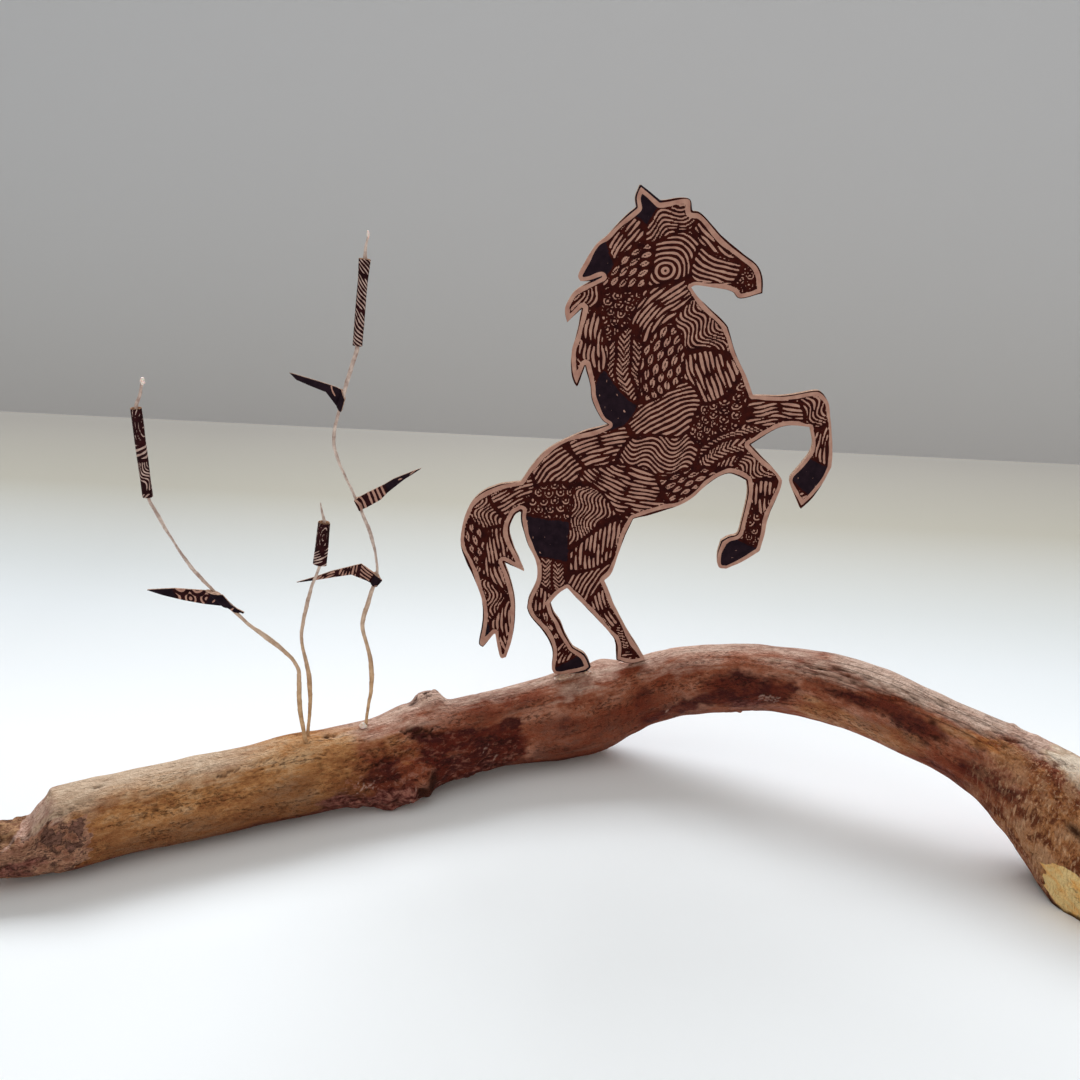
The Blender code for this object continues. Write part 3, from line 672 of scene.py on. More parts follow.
# The foot's lower rim, where it meets the table, is darkened as painted shade: not at all
# at one height and fully at another, in mm.
RIM_SHADE_HEIGHTS, RIM_SHADE_SWAY = (2.2, 0.4), 0.9
print("highest relief", RELIEF[0][0], "mm all over")

# %% Moving the surface
def wood_pits():
    """Small hollows, from 0 to 1 deep, fewer and shallower between their rows."""
    rows = smoothstep(*ROW_EDGE, uneven(0.0, [PIT_ROWS]))
    return smoothstep(*PIT_EDGE, uneven(0.0, [PITS])) * (STRAY_PIT + (1.0 - STRAY_PIT) * rows)


def wood_height(area, pits, crumbs):
    """Height over the loft: lumps and relief, less cracks, pits and gaps in the crust."""
    height = lump_height(wood_x, wood_angle, LUMPS) + wood_small - wood_cracks
    height = uneven(height, RELIEF)
    height -= pits * (PIT_DEPTH + ROUGH_PIT_DEPTH * area["rough"])
    height -= area["crust"] * smoothstep(*GAP_EDGE, crumbs) * CRUST_GAP_DEPTH
    return height + sum(area[title] * uneven(0.0, rows) for title, rows in AREA_RELIEF.items())


def hollowed(points, crumbs):
    """Points over the rotten hollow, lowered to the ellipsoid's floor and its crumbs."""
    flat = (points - ROT_HOLLOW) / ROT_HOLLOW_SIZE
    open_above = 1.0 - flat[..., 0] ** 2 - flat[..., 1] ** 2
    deep = ROT_HOLLOW_SIZE[2] * np.sqrt(np.maximum(open_above, 0.0))
    bottom = ROT_HOLLOW[2] - deep + HOLLOW_CRUMBS * crumbs
    height = points[..., 2]
    points[..., 2] = np.where((open_above > 0.0) & (height > bottom), bottom, height)
    return points


def sawn_off(points):
    """Points with those past the saw's plane moved back on to it, and 1 where that was."""
    at_foot = wood_x > FOOT_FROM
    past = (points - SAW_POINT) @ SAW_NORMAL
    stroke = SAW_WAVE_HEIGHT * np.sin(points @ SAW_WAVES) \
        + SAW_BUMPS * noise(points, (3.0, 3.0, 2.0), 31)
    back = np.maximum(past - stroke, 0.0) * at_foot
    return points - back[..., None] * SAW_NORMAL, smoothstep(-0.05, 0.2, past) * at_foot


def bedded(height):
    """The height above the table: bed + soft * ln(1 + e^((height - bed) / soft))."""
    soft = BED_HEIGHT + BED_SOFT * np.logaddexp(0.0, (height - BED_HEIGHT) / BED_SOFT)
    return np.where(wood_x < BEDDED_TO, soft, height)


def driftwood(area):
    """Points of the finished surface. Adds to the areas what is sawn and the painted shade."""
    crumbs, pits = uneven(0.0, [(1, *CRUMBS)]), wood_pits()
    points = wood_loft + wood_out * wood_height(area, pits, crumbs)[..., None]
    points, area["sawn"] = sawn_off(hollowed(points, crumbs))
    # Painted shade on the foot's lowest rim, where it meets the table.
    rim_shade = (wood_x > FOOT_FROM) * smoothstep(*RIM_SHADE_HEIGHTS, points[..., 2] + RIM_SHADE_SWAY * crumbs)
    points[..., 2] = bedded(points[..., 2])
    pitted = (1.0 - SAWN_SPARED * area["sawn"]) * (pits * PAINTED_SHADE["pit"] - wood_small * PAINTED_SHADE["small"])
    area["deep"] = np.clip(wood_cracks * PAINTED_SHADE["crack"] + pitted + rim_shade * PAINTED_SHADE["rim_shade"], 0.0, 1.0)
    return points


wood_points = driftwood(wood_values)
print("wood from", wood_points.min(axis=(0, 1)).round(1),
      "to", wood_points.max(axis=(0, 1)).round(1))

# %% [markdown]
# ## Driftwood, the finish
# Bark-free hardwood, worn by water and dried: matt, with the grain showing as fine raised
# lines, open pores as short dark dashes, and stains that follow the grain. The material
# could be painted. Here the areas above choose between a few colours, and noise that is
# stretched along the grain breaks up their edges. The grain's own coordinates were kept
# for each point, so the pattern bends with the wood.

# %% Driftwood finish: patterns
wood_finish = new_material("weathered driftwood", {"Roughness": 0.8, "Specular IOR Level": 0.1})
grain = add(wood_finish, "Attribute", take="Vector", attribute_name="grain")
on_wood = {title: add(wood_finish, "Attribute", take="Fac", attribute_name=title)
           for title in wood_values}


def stretched(along, across, detail=3.0, rough=0.6):
    """Noise in cells of a size in mm along the grain and across it."""
    place = add(wood_finish, "Mapping", {"Vector": grain,
                                         "Scale": (1 / along, 1 / across, 1 / across)})
    return add(wood_finish, "TexNoise", {"Vector": place, "Scale": 1.0, "Detail": detail,
                                         "Roughness": rough})


def shown(value, low, high, least=0.0, most=1.0, within=None):
    """How much of a thing shows: least to most as a value goes from low to high.

    Where the thing is kept within an area, that is multiplied by the area's strength.
    """
    share = add(wood_finish, "MapRange", (value, low, high, least, most))
    if within is None:
        return share
    return add(wood_finish, "Math", (share, within), operation="MULTIPLY")


def coat(under, over, value, low, high, least=0.0, most=1.0, within=None):
    """One colour laid over another, by as much as is shown."""
    share = shown(value, low, high, least, most, within)
    return add(wood_finish, "Mix", {MIX: share, A: under, B: over}, MIXED, data_type="RGBA")


def swayed(value, *sways):
    """A value plus amount * (pattern - 0.5) for each sway, so that an edge breaks up."""
    for pattern, amount in sways:
        away = add(wood_finish, "Math", (pattern, 0.5), operation="SUBTRACT")
        value = add(wood_finish, "Math", (away, amount, value), operation="MULTIPLY_ADD")
    return value


drift, streak, lines = stretched(26, 9, 2), stretched(14, 1.3), stretched(6, 0.55, 2)
blotch, mottle, grit = stretched(6, 3, 4), stretched(1.9, 1), stretched(0.8, 0.5, 2)
print("wood patterns drawn in cells of 0.5 to 26 mm")

# %% Driftwood finish: sound wood
# Each tone has one colour where the wood is maroon-brown and one where it is golden.
golden = swayed(on_wood["golden"], (blotch, 0.6))
dark, middle, light = (coat(brown, gold, golden, 0.2, 0.8) for brown, gold in (
    ("#85412b", "#975f38"), ("#9d5d44", "#bf8654"), ("#c08871", "#d6aa7f")))
tone = swayed(drift, (blotch, 0.6), (mottle, 0.55), (streak, 0.25))
colour = coat(coat(dark, middle, tone, 0.3, 0.5), light, tone, 0.5, 0.75)

ochre = coat("#98502c", "#cb8246", mottle, 0.4, 0.6)
colour = coat(colour, ochre, swayed(on_wood["ochre"], (blotch, 0.8)), 0.3, 0.75, most=0.9)
greyed = coat("#b69583", "#eaccbb", mottle, 0.25, 0.7)
grey_edge = swayed(on_wood["grey"], (streak, 0.8), (blotch, 0.8))
colour = coat(colour, greyed, grey_edge, 0.2, 1.1)
bleached_and_highlight = coat("#bd9d82", "#e2c7ac", mottle, 0.25, 0.7)
# Where the pale area is stronger than 1, as on the foot's top edge, a cream painted highlight.
bleached_and_highlight = coat(bleached_and_highlight, "#f6e2cc", on_wood["pale"], 1.0, 1.5)
pale_edge = swayed(on_wood["pale"], (streak, 0.9), (blotch, 0.7))
colour = coat(colour, bleached_and_highlight, pale_edge, 0.15, 1.1)
print("sound wood takes", len(wood_finish.node_tree.nodes), "nodes")

# %% Driftwood finish: painted underside shade and stains
# Painted shade: the lower half is darkened towards a dark brown.
colour = coat(colour, "#683823", swayed(on_wood["underside_shade"], (blotch, 0.5)), 0.1, 1.0, most=0.68)
stain = coat("#5d2117", "#441615", stretched(6, 3, 2), 0.42, 0.58)
stain = coat(stain, "#82442f", mottle, 0.5, 0.72, most=0.45)
stain_edge = swayed(on_wood["maroon"], (blotch, 0.9), (mottle, 0.7))
colour = coat(colour, stain, stain_edge, 0.25, 1.0, most=0.96)
print("with stains it is", len(wood_finish.node_tree.nodes), "nodes")

# %% [markdown]
# ### The broken end and the crumbs
# The broken end has a thin grey crust, and dark flakes of bark still sit on it. The rest
# of that end is rotten, and the swollen lump is crumbly, with a painted highlight on its
# crumbs' tops and painted shade in the gaps between them.

# %% Driftwood finish: crust and crumbs
CRUST_CELL = 3.2
own_place = add(wood_finish, "TexCoord", take="Object")
ragged = add(wood_finish, "TexNoise", {"Vector": own_place, "Scale": 1 / (CRUST_CELL * MM),
                                       "Detail": 6.0, "Roughness": 0.68})
flake_edge = add(wood_finish, "Math", (on_wood["flake"], 0.11, ragged), operation="MULTIPLY_ADD")
flake = shown(flake_edge, 0.56, 0.595, 0.0, 0.85)
bark = coat("#54362f", "#76534a", mottle, 0.4, 0.6)
crust = coat("#8d5f4a", "#c09075", ragged, 0.38, 0.55)
crust = coat(crust, bark, flake_edge, 0.56, 0.595, most=0.85)
colour = coat(colour, crust, swayed(on_wood["crust"], (mottle, 0.6)), 0.35, 0.65)
bruise = coat("#4f1e1b", "#935c52", mottle, 0.4, 0.62)
bruise_edge = swayed(on_wood["purple"], (blotch, 0.9), (mottle, 0.5))
colour = coat(colour, bruise, bruise_edge, 0.35, 0.85, most=0.85)
rotten = coat("#774e38", "#ae8462", mottle, 0.4, 0.6)
colour = coat(colour, rotten, swayed(on_wood["rotten"], (mottle, 0.5)), 0.4, 0.6)
# Rough areas: a painted highlight on the crumbs' tops, and painted shade in their gaps.
colour = coat(colour, "#a26d5d", mottle, 0.54, 0.64, most=0.5, within=on_wood["rough"])
colour = coat(colour, "#3c1611", mottle, 0.36, 0.44, 0.5, 0.0, within=on_wood["rough"])
colour = coat(colour, "#c9a394", on_wood["scratch"], 0.1, 0.6, most=0.8)
print("with crust and crumbs it is", len(wood_finish.node_tree.nodes), "nodes")

# %% [markdown]
# ### Pores and long lines
# Cut pores show as short dark dashes in bands, fainter where the sun has worn the wood
# smooth, and none at the foot or on the saw cut. On the arch, long thin lines follow the
# grain: the places where a much stretched noise passes through its middle value.

# %% Driftwood finish: pores and lines
LINE_CELL = 40.0
dashes = shown(stretched(1.3, 0.55, 2), 0.34, 0.46, 1.0, 0.0,
               within=shown(stretched(16, 2.6, 2), 0.42, 0.62))
worn_smooth = add(wood_finish, "Math", (on_wood["grey"], on_wood["pale"]), operation="MAXIMUM")
dashes = shown(worn_smooth, 0.0, 1.0, 1.0, 0.35,
               within=shown(on_wood["fibrous"], 0.0, 1.0, 1.0, 0.0, within=dashes))
split = add(wood_finish, "Math", (stretched(LINE_CELL, 1.7, 1), 0.5), operation="SUBTRACT")
split = add(wood_finish, "Math", (split,), operation="ABSOLUTE")
long_lines = shown(split, 0.004, 0.04, 1.0, 0.0, within=on_wood["lined"])
marks = add(wood_finish, "Math", (dashes, long_lines), operation="MAXIMUM")
marks = shown(on_wood["sawn"], 0.3, 0.6, 1.0, 0.0, within=marks)
colour = coat(colour, "#42241a", marks, 0.0, 1.0, most=0.55)
print("with pores and lines it is", len(wood_finish.node_tree.nodes), "nodes")

# %% [markdown]
# ### The fibrous foot and the saw cut
# At the foot the wood is frayed into upright hairs, light on dark, in worn and in wet
# patches, the hairs' light tops and dark gaps partly painted highlight and shade. The saw
# cut is fresh: yellow, with darker and lighter blotches. Painted shade in the cracks and
# pits, and where the foot meets the table, goes on last. The relief under the paint is the
# mottling, the grit and the fine lines, up to about a millimetre high in all, which is
# coarser than the real one so that it shows.

# %% Driftwood finish: foot, dirt and relief
HAIR_WIDE, HAIR_LONG, HAIR_LEAN = 0.6, 3.2, 12.0
hair_scale = [1 / (size * MM) for size in (HAIR_WIDE, HAIR_WIDE, HAIR_LONG)]
hair_place = add(wood_finish, "Mapping", {"Vector": own_place, "Scale": hair_scale,
                                          "Rotation": (0.0, math.radians(HAIR_LEAN), 0.0)})
hair = add(wood_finish, "TexNoise", {"Vector": hair_place, "Scale": 1.0, "Detail": 3.0,
                                     "Distortion": 0.6})
patchy = stretched(8, 7, 5, 0.7)
# The hairs are light on dark by their own colour, with painted highlight and shade on the same noise
# as their relief.
for over, pattern, low, high, least, most in (
        ("#c0906c", patchy, 0.5, 0.57, 0.0, 0.68), ("#642b17", patchy, 0.41, 0.48, 0.85, 0.0),
        ("#e3b690", hair, 0.56, 0.66, 0.0, 0.6), ("#502313", hair, 0.36, 0.44, 0.5, 0.0)):
    colour = coat(colour, over, pattern, low, high, least, most, within=on_wood["fibrous"])
fresh = coat("#febf6e", "#ffdd9c", swayed(blotch, (mottle, 0.4)), 0.34, 0.58)
colour = coat(colour, fresh, on_wood["sawn"], 0.35, 0.65)
# Painted shade in the cracks, pits and hollows, and where the foot meets the table.
colour = coat(colour, "#35190f", on_wood["deep"], 0.15, 0.8, most=0.88)

relief = add(wood_finish, "Math", (grit, 0.9), operation="MULTIPLY")
hairy = add(wood_finish, "Math", (on_wood["fibrous"], 1.4), operation="MULTIPLY")
flaky = add(wood_finish, "Math", (flake, on_wood["crust"]), operation="MULTIPLY")
for pattern, height in ((mottle, 0.8), (lines, 0.35), (hair, hairy), (flaky, -0.8),
                        (marks, -0.8)):
    relief = add(wood_finish, "Math", (pattern, height, relief), operation="MULTIPLY_ADD")
dress(wood_finish, colour, relief, deep=1.0)
print("wood finish has", len(wood_finish.node_tree.nodes), "nodes")

# %% Driftwood piece
wood_faces = [*grid_faces(*wood_x.shape).tolist(), list(range(wood_points.shape[1]))]
wood = make_piece("driftwood", wood_points.reshape(-1, 3), wood_faces, [wood_finish], below=True,
                  values={**{title: value.ravel() for title, value in wood_values.items()},
                          "grain": wood_grain.reshape(-1, 3)})
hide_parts("driftwood_branch")

# %% [markdown]
# ## The horse's outline
# The horse was drawn, printed and cut out of stiff card by hand. Its outline is the
# solid's: runs of points that meet in corners, each run one smooth stretch. The distance
# to that outline, counted positive inside, is what places the printed contour later.

# %% Horse outline
CARD = 1.5
HORSE_Y = 32.0
# Each run starts at the corner where the one before it ended, and the first at the last's.
HORSE = [
    [(25.6, 165.3)], [(32.9, 165.9), (34.1, 162.6)],
    [(36.8, 161.8), (42.1, 156.4), (48.8, 151.2), (52.2, 148.6), (53.8, 145.2), (54, 141.2)],
    [(48.1, 139.8), (46.2, 141.4), (44.2, 142.2)], [(36.6, 143.3), (34.7, 142.8)],
    [(37.3, 139.6), (44.2, 133.4), (45.7, 130.6), (47.7, 124.9), (51.1, 118.5), (53.3, 113.1)],
    [(62, 113.1), (69.7, 114.5), (71.9, 114.2), (73.5, 112.5), (74.8, 109.4), (76.6, 98.4),
     (76.8, 92.5)],
    [(74.7, 87.5), (72.2, 83.3), (69, 79.9)], [(65.6, 87.2), (65.4, 89.6)],
    [(70.7, 97.5), (69.9, 104.2)], [(61.8, 104.2), (53.4, 99)],
    [(61.9, 90.2), (63, 87.2), (61.6, 82.4), (59.7, 76.9), (59.1, 72), (58, 67)],
    [(53.5, 63.9), (48.7, 61.4)], [(46.3, 62), (45.8, 66.1), (46.7, 70.1)],
    [(48.7, 71.4), (51.3, 72.3), (52.2, 76.3), (53.4, 84.2), (52.9, 88.4)],
    [(50.2, 89.9), (47.1, 90.5), (42.3, 87.8), (36.6, 82.4), (28.6, 79), (20.9, 76.9)],
    [(17.9, 69.5), (15.2, 60.7), (12.9, 57.6)], [(17.6, 46.3), (25.8, 31.9)],
    [(21.4, 30.7), (17, 31.8)], [(16.6, 37.5), (14.1, 41.7), (2, 55.3)],
    [(-0.4, 53.7), (-3, 50.5)], [(-1.8, 47.3), (0, 44.4), (1.5, 40.4), (3.9, 36.1)],
    [(7.6, 33.5), (9.5, 29.5)],
    [(7.9, 28.1), (4.6, 27.4), (0.4, 27.1), (-1.7, 27.4), (-2.4, 28.8)],
    [(-2.4, 35.5), (-4.5, 40.4), (-8.7, 46), (-9.9, 48.9)],
    [(-9.3, 52.1), (-6.9, 58.2), (-7.2, 63.9), (-9.8, 69.8), (-11.5, 76.3), (-11.5, 79.3)],
    [(-13.5, 77.5), (-14.7, 72), (-10.7, 60.7)], [(-16.6, 63.6)],
    [(-14.6, 57.6), (-13.4, 51.2), (-13.5, 44.7), (-14.4, 38.8), (-16.3, 32.8)],
    [(-18.1, 33.1), (-19.5, 40.8)], [(-23.2, 36.1)],
    [(-24.4, 37.5), (-23.4, 43), (-23, 49.6), (-24.6, 56.3), (-29, 68.6), (-27.1, 79),
     (-23.2, 84.5), (-17.5, 87.2), (-11.4, 88.1)],
    [(-8.3, 92.8), (-3.5, 97.8), (4.7, 102.2), (13.4, 104.8)],
    [(11.1, 106.5), (8.5, 111.7), (7.9, 115.9), (6.4, 121.5)], [(4.3, 115.4)],
    [(3.2, 117.3), (2.6, 120.1), (2.8, 125.7), (3.9, 129.6), (5.4, 137.2)], [(1.4, 133.4)],
    [(0.8, 136.1), (1.3, 138.5), (4, 142.2), (10.7, 145.7)], [(7.7, 144.6), (4.8, 144.4)],
    [(4.5, 146.5), (8.7, 153.6), (11.8, 156.4), (15.4, 160.3), (19.3, 163.6)],
    [(19, 166.4), (20.2, 169.4)],
]
RUN_STEPS = 6


def outline_of(runs, steps):
    """One closed line of points: every run smoothed, each last point left to the next run."""
    corners = [runs[-1][-1], *(run[-1] for run in runs)]
    return np.vstack([smooth_path([corner, *run], steps if len(run) > 1 else 1)[:-1]
                      for corner, run in zip(corners, runs)])


horse_outline = outline_of(HORSE, RUN_STEPS)
print("horse outline has", len(horse_outline), "points")

# %% [markdown]
# ## Cutting a sheet along a line that a formula gives
# A print could be an image, but images are flat colour with no edge. Here the sheet is a
# fine mesh of triangles, and every triangle that the edge of the ink crosses is cut in two
# along it. The ink's edge is then as sharp as the mesh, and each colour is a material.

# %% Cutting triangles
def triangle_grid(low, high, step):
    """Points of a rectangle at a step, and the two triangles of each of its cells."""
    count = np.ceil((np.array(high) - low) / step).astype(int) + 1
    u, v = (low[k] + step * np.arange(count[k]) for k in range(2))
    points = np.stack(np.meshgrid(u, v, indexing="ij"), axis=-1).reshape(-1, 2)
    quads = grid_faces(count[0], count[1], closed=False)
    odd = (quads[:, 0] // count[1] + quads[:, 0] % count[1]) % 2 == 1
    quads[odd] = np.roll(quads[odd], 1, axis=1)
    return points, np.vstack([quads[:, [0, 1, 2]], quads[:, [0, 2, 3]]])


def cut_triangles(points, faces, column):
    """Cuts the triangles where a column of the points' numbers changes sign.

    A crossed triangle has one corner alone on its side. Each edge from it is cut at the
    share where the value is zero, which leaves a small triangle and two more beyond it.
    """
    value = points[:, column]
    value = np.where(np.abs(value) < 1e-4, 1e-4, value)
    above = value > 0.0
    count = above[faces].sum(axis=1)
    whole = (count == 0) | (count == 3)
    crossed = faces[~whole]
    alone = (above[crossed] == (count[~whole] == 1)[:, None]).argmax(axis=1)
    turned = crossed[np.arange(len(crossed))[:, None], (alone[:, None] + np.arange(3)) % 3]
    lone, left, right = turned.T
    ends = np.vstack([np.stack([lone, left], 1), np.stack([lone, right], 1)])
    ends, place = np.unique(np.sort(ends, axis=1), axis=0, return_inverse=True)
    place = place.ravel() + len(points)
    share = value[ends[:, 0]] / (value[ends[:, 0]] - value[ends[:, 1]])
    fresh = points[ends[:, 0]] + share[:, None] * (points[ends[:, 1]] - points[ends[:, 0]])
    on_left, on_right = place[:len(lone)], place[len(lone):]
    pieces = [faces[whole], np.stack([lone, on_left, on_right], 1),
              np.stack([on_left, left, right], 1), np.stack([on_left, right, on_right], 1)]
    sides = [count[whole] == 3, above[lone], ~above[lone], ~above[lone]]
    return np.vstack([points, fresh]), np.vstack(pieces), np.concatenate(sides)


def used_only(points, faces):
    """The points that some face uses, and the faces numbered to match."""
    used, again = np.unique(faces, return_inverse=True)
    return points[used], again.reshape(faces.shape)


def rim_edges(faces):
    """Edges that only one triangle has, in the direction in which it has them."""
    edges = np.vstack([faces[:, [0, 1]], faces[:, [1, 2]], faces[:, [2, 0]]])
    _, first, count = np.unique(np.sort(edges, axis=1), axis=0, return_index=True,
                                return_counts=True)
    return edges[first[count == 1]]


# %% [markdown]
# ## Marks for the print
# The print is a relief print: what was gouged out of the block stays bare paper, and what
# was left takes the ink. So each motif is a formula for the ground that was left standing,
# positive where there is ink, in mm. They are common marks of that craft: strokes, waves,
# scales, seeds, rings, chevrons, long loops, single slits, and ground left whole.

# %% Motifs
def stripes(u, v, pitch):
    """Ink in even stripes along u: half the pitch less the distance to a stripe's middle."""
    return (np.abs(v / pitch % 1.0 - 0.5) - 0.24) * pitch


def strokes(u, v, pitch):
    """Lens-shaped gouges in rows: each row starts at its own offset, and each gouge tapers."""
    row = np.floor(v / pitch)
    along = u / (pitch * 7.5) + np.sin(row * 12.9898) * 7.3
    taper = np.sqrt(np.maximum(1.0 - (2.1 * (along % 1.0) - 1.05) ** 2, 0.0))
    return (np.abs(v / pitch % 1.0 - 0.5) - 0.31 * taper) * pitch


def waves(u, v, pitch):
    """Stripes whose middle swings as a sine of u."""
    return stripes(u, v + 0.9 * pitch * np.sin(u / (pitch * 1.15)), pitch)


def chevrons(u, v, pitch):
    """Stripes that turn back along a comb of ribs, so that they meet in points."""
    rib = 3.4 * pitch
    fold = np.abs(v / rib % 1.0 - 0.5) * rib
    ribs = 0.3 * pitch - fold
    return np.maximum(stripes(u, u + 1.1 * fold, pitch), ribs)


def scales(u, v, pitch):
    """Round scales in offset rows: an inked rim and an inked arc inside each."""
    wide, tall = 2.6 * pitch, 2.0 * pitch
    best = np.full(u.shape, -np.inf)
    for shift in (1, 0):
        row = np.floor(u / tall) + shift
        across = (v / wide + 0.5 * (row % 2)) % 1.0 - 0.5
        reach = np.hypot((u - row * tall) / 1.1, across * wide)
        ink = 0.26 * pitch - np.abs(reach - 1.25 * pitch)
        arc = 0.2 * pitch - np.abs(reach - 0.5 * pitch)
        covered = reach < 1.5 * pitch
        best = np.where(covered & (best == -np.inf), np.maximum(ink, arc), best)
    return np.where(best == -np.inf, 0.3, best)


def seeds(u, v, pitch):
    """Bare seeds on ink, in offset rows, each with a line down its middle."""
    wide, tall = 1.55 * pitch, 3.0 * pitch
    row = np.floor(v / wide)
    along = (u / tall + 0.5 * (row % 2)) % 1.0 - 0.5
    across = v / wide % 1.0 - 0.5
    seed = 0.36 * (1.0 - (2.15 * along) ** 2) - np.abs(across)
    line = 0.07 - np.abs(across)
    return np.maximum(-seed, np.minimum(line, 0.3 - np.abs(along))) * wide


def rings(u, v, pitch):
    """Stripes that run round a point, like the rings on cut wood."""
    return stripes(u, np.hypot(u + 3.0 * pitch, v), pitch)


def solid(u, v, pitch):
    """Ink all over but for a few thin flecks."""
    fleck = np.sin(u / pitch * 1.1 + 1.3 * np.sin(v / pitch)) * np.sin(v / pitch * 2.3)
    return (0.93 - fleck) * pitch


def slit(u, v, pitch):
    """One thin bare line along u in the middle, and ink over all the rest."""
    return np.maximum(np.abs(v) - 0.16 * pitch, np.abs(u) - 1.4 * pitch)


def loops(u, v, pitch):
    """Thin bare lines that run round a point in long loops."""
    return (np.abs(np.hypot(u / 2.2, v) / pitch % 1.0 - 0.5) - 0.12) * pitch


MOTIFS = (stripes, strokes, waves, chevrons, scales, seeds, rings, solid, slit, loops)
print("motifs:", ", ".join(motif.__name__ for motif in MOTIFS))

# %% [markdown]
# ## Fields of the print
# The body is divided into fields, and each field has its own motif, turned the way the
# body runs there. A field is all that lies nearest to its seed, so a list of seeds is
# enough to draw the whole division, and a field moves by moving one point.

# %% Fields
FIELD_LINE = 0.4
BOW = 0.016
# Noise that bends the fields' borders: amount and cell in mm, and two seeds.
FIELD_BENDS = [(0.4, 4.0, 41, 42), (1.1, 11.0, 43, 44)]
GOUGE_WOBBLE, GOUGE_CELL = 0.07, 0.9


def field_places(points, fields):
    """Each field's own u and v at the points, v bowed by BOW * u^2, and its seed's distance.

    u runs the field's own way, and the distance is measured less strictly that way.
    """
    bent = points
    for amount, cell, *pair in FIELD_BENDS:
        bent = bent + amount * np.stack([noise(points, (cell, cell), seed) for seed in pair], 1)
    for x, z, angle, long, *_ in fields:
        turn = math.radians(angle)
        off_x, off_z = (bent - (x, z)).T
        u = off_x * math.cos(turn) + off_z * math.sin(turn)
        v = off_z * math.cos(turn) - off_x * math.sin(turn)
        yield u, v + BOW * u ** 2, np.hypot(u / math.sqrt(long), v * math.sqrt(long))


def field_ink(points, fields):
    """Ink of the field that each point lies in, with an inked line between two fields.

    The nearest seed gives the motif, and the line is where two seeds are nearly as near.
    The second result is 1 in the fields that are inked nearly all over, where the ink lies
    thick, and 0 in the others.
    """
    u, v, away = (np.array(column) for column in zip(*field_places(points, fields)))
    nearest = away.argmin(axis=0)
    first, second = np.sort(away, axis=0)[:2]
    ink = np.zeros(len(points))
    for k, (*_, motif, pitch) in enumerate(fields):
        mine = nearest == k
        ink[mine] = motif(u[k][mine], v[k][mine], pitch)
    ink += GOUGE_WOBBLE * noise(points, (GOUGE_CELL, GOUGE_CELL), 45)
    thick = np.array([motif in (solid, slit) for *_, motif, _ in fields], float)
    return np.maximum(ink, FIELD_LINE - (second - first) / 2), thick[nearest]


# %% [markdown]
# ## The horse's printed card
# The card carries a contour, one bare line that follows the outline a little way in. In
# places the scissors left a fringe of ink outside it, and elsewhere they cut into the bare
# line. The back is one plain face, and the card's walls close it all round.

# %% Horse print
# Where the seed is (x, z), which way the motif runs in degrees, how many times longer the
# field is that way, the motif, its pitch.
FIELDS = [
    (21, 165, 80, 1.3, solid, 1.2), (29, 161, 20, 1.6, waves, 1.2),
    (41, 155, 138, 2.4, strokes, 1.15), (29, 151, 60, 1.4, rings, 1.3),
    (42, 147, 160, 1.9, stripes, 1.25), (51, 143, 120, 1.2, scales, 1.05),
    (17, 157, 52, 2.2, strokes, 1.2), (8, 149, 50, 1.7, solid, 1.2),
    (19, 148, 40, 1.7, seeds, 1.25), (5, 139, 70, 1.9, waves, 1.25),
    (8, 128, 85, 2.2, strokes, 1.2), (4, 118, 80, 1.7, chevrons, 1.25),
    (15, 136, 70, 1.8, scales, 1.25), (27, 138, 50, 1.9, strokes, 1.25),
    (38, 131, 125, 2.0, waves, 1.25), (17, 122, 92, 2.3, chevrons, 1.4),
    (28, 122, 72, 2.3, seeds, 1.3), (42, 119, 112, 2.1, strokes, 1.25),
    (13, 110, 98, 1.6, solid, 1.2), (28, 107, 30, 2.2, stripes, 1.3),
    (45, 107, 60, 1.8, scales, 1.25), (11, 99, 15, 2.3, strokes, 1.25),
    (28, 97, 172, 2.6, waves, 1.3), (47, 97, 25, 1.9, chevrons, 1.3),
    (20, 86, 163, 2.5, strokes, 1.25), (39, 88, 20, 2.0, seeds, 1.25),
    (-2, 92, 40, 1.9, stripes, 1.3), (-4, 82, 90, 1.5, scales, 1.25),
    (8, 77, 75, 2.1, waves, 1.25), (-4, 70, 100, 1.7, solid, 1.2),
    (9, 66, 85, 1.7, strokes, 1.2), (-4, 60, 95, 1.6, chevrons, 1.2),
    (-6, 52, 80, 1.6, strokes, 1.1), (-4, 43, 115, 1.9, seeds, 1.1),
    (2, 34, 60, 1.5, strokes, 1.1), (4, 29, 10, 1.5, solid, 1.2),
    (9, 57, 60, 1.5, stripes, 1.2), (13, 48, 115, 2.1, strokes, 1.1),
    (19, 38, 115, 1.9, chevrons, 1.1), (22, 32, 0, 1.3, strokes, 1.1),
    (61, 109, 5, 2.1, strokes, 1.15), (72, 110, 120, 1.5, waves, 1.15),
    (75, 99, 85, 2.1, strokes, 1.15), (72, 88, 70, 1.6, solid, 1.2),
    (69, 82, 20, 1.2, stripes, 1.2), (56, 93, 130, 1.7, waves, 1.15),
    (59, 83, 95, 1.9, strokes, 1.1), (55, 73, 80, 1.6, scales, 1.05),
    (51, 66, 20, 1.4, solid, 1.2), (-15, 85, 30, 1.7, strokes, 1.15),
    (-23, 80, 70, 1.6, waves, 1.15), (-26, 70, 100, 2.1, seeds, 1.15),
    (-19, 63, 105, 1.9, strokes, 1.15), (-21, 51, 90, 2.1, waves, 1.15),
    (-17, 41, 95, 1.9, strokes, 1.1), (-23, 40, 85, 1.5, solid, 1.2),
]
print("fields on the card:", len(FIELDS))

# %% Contour and printed sheets
PRINT_STEP = 0.38
CONTOUR = 1.15
# How far outside the outline the sheet's triangles are kept, until it is cut.
MARGIN = 1.0
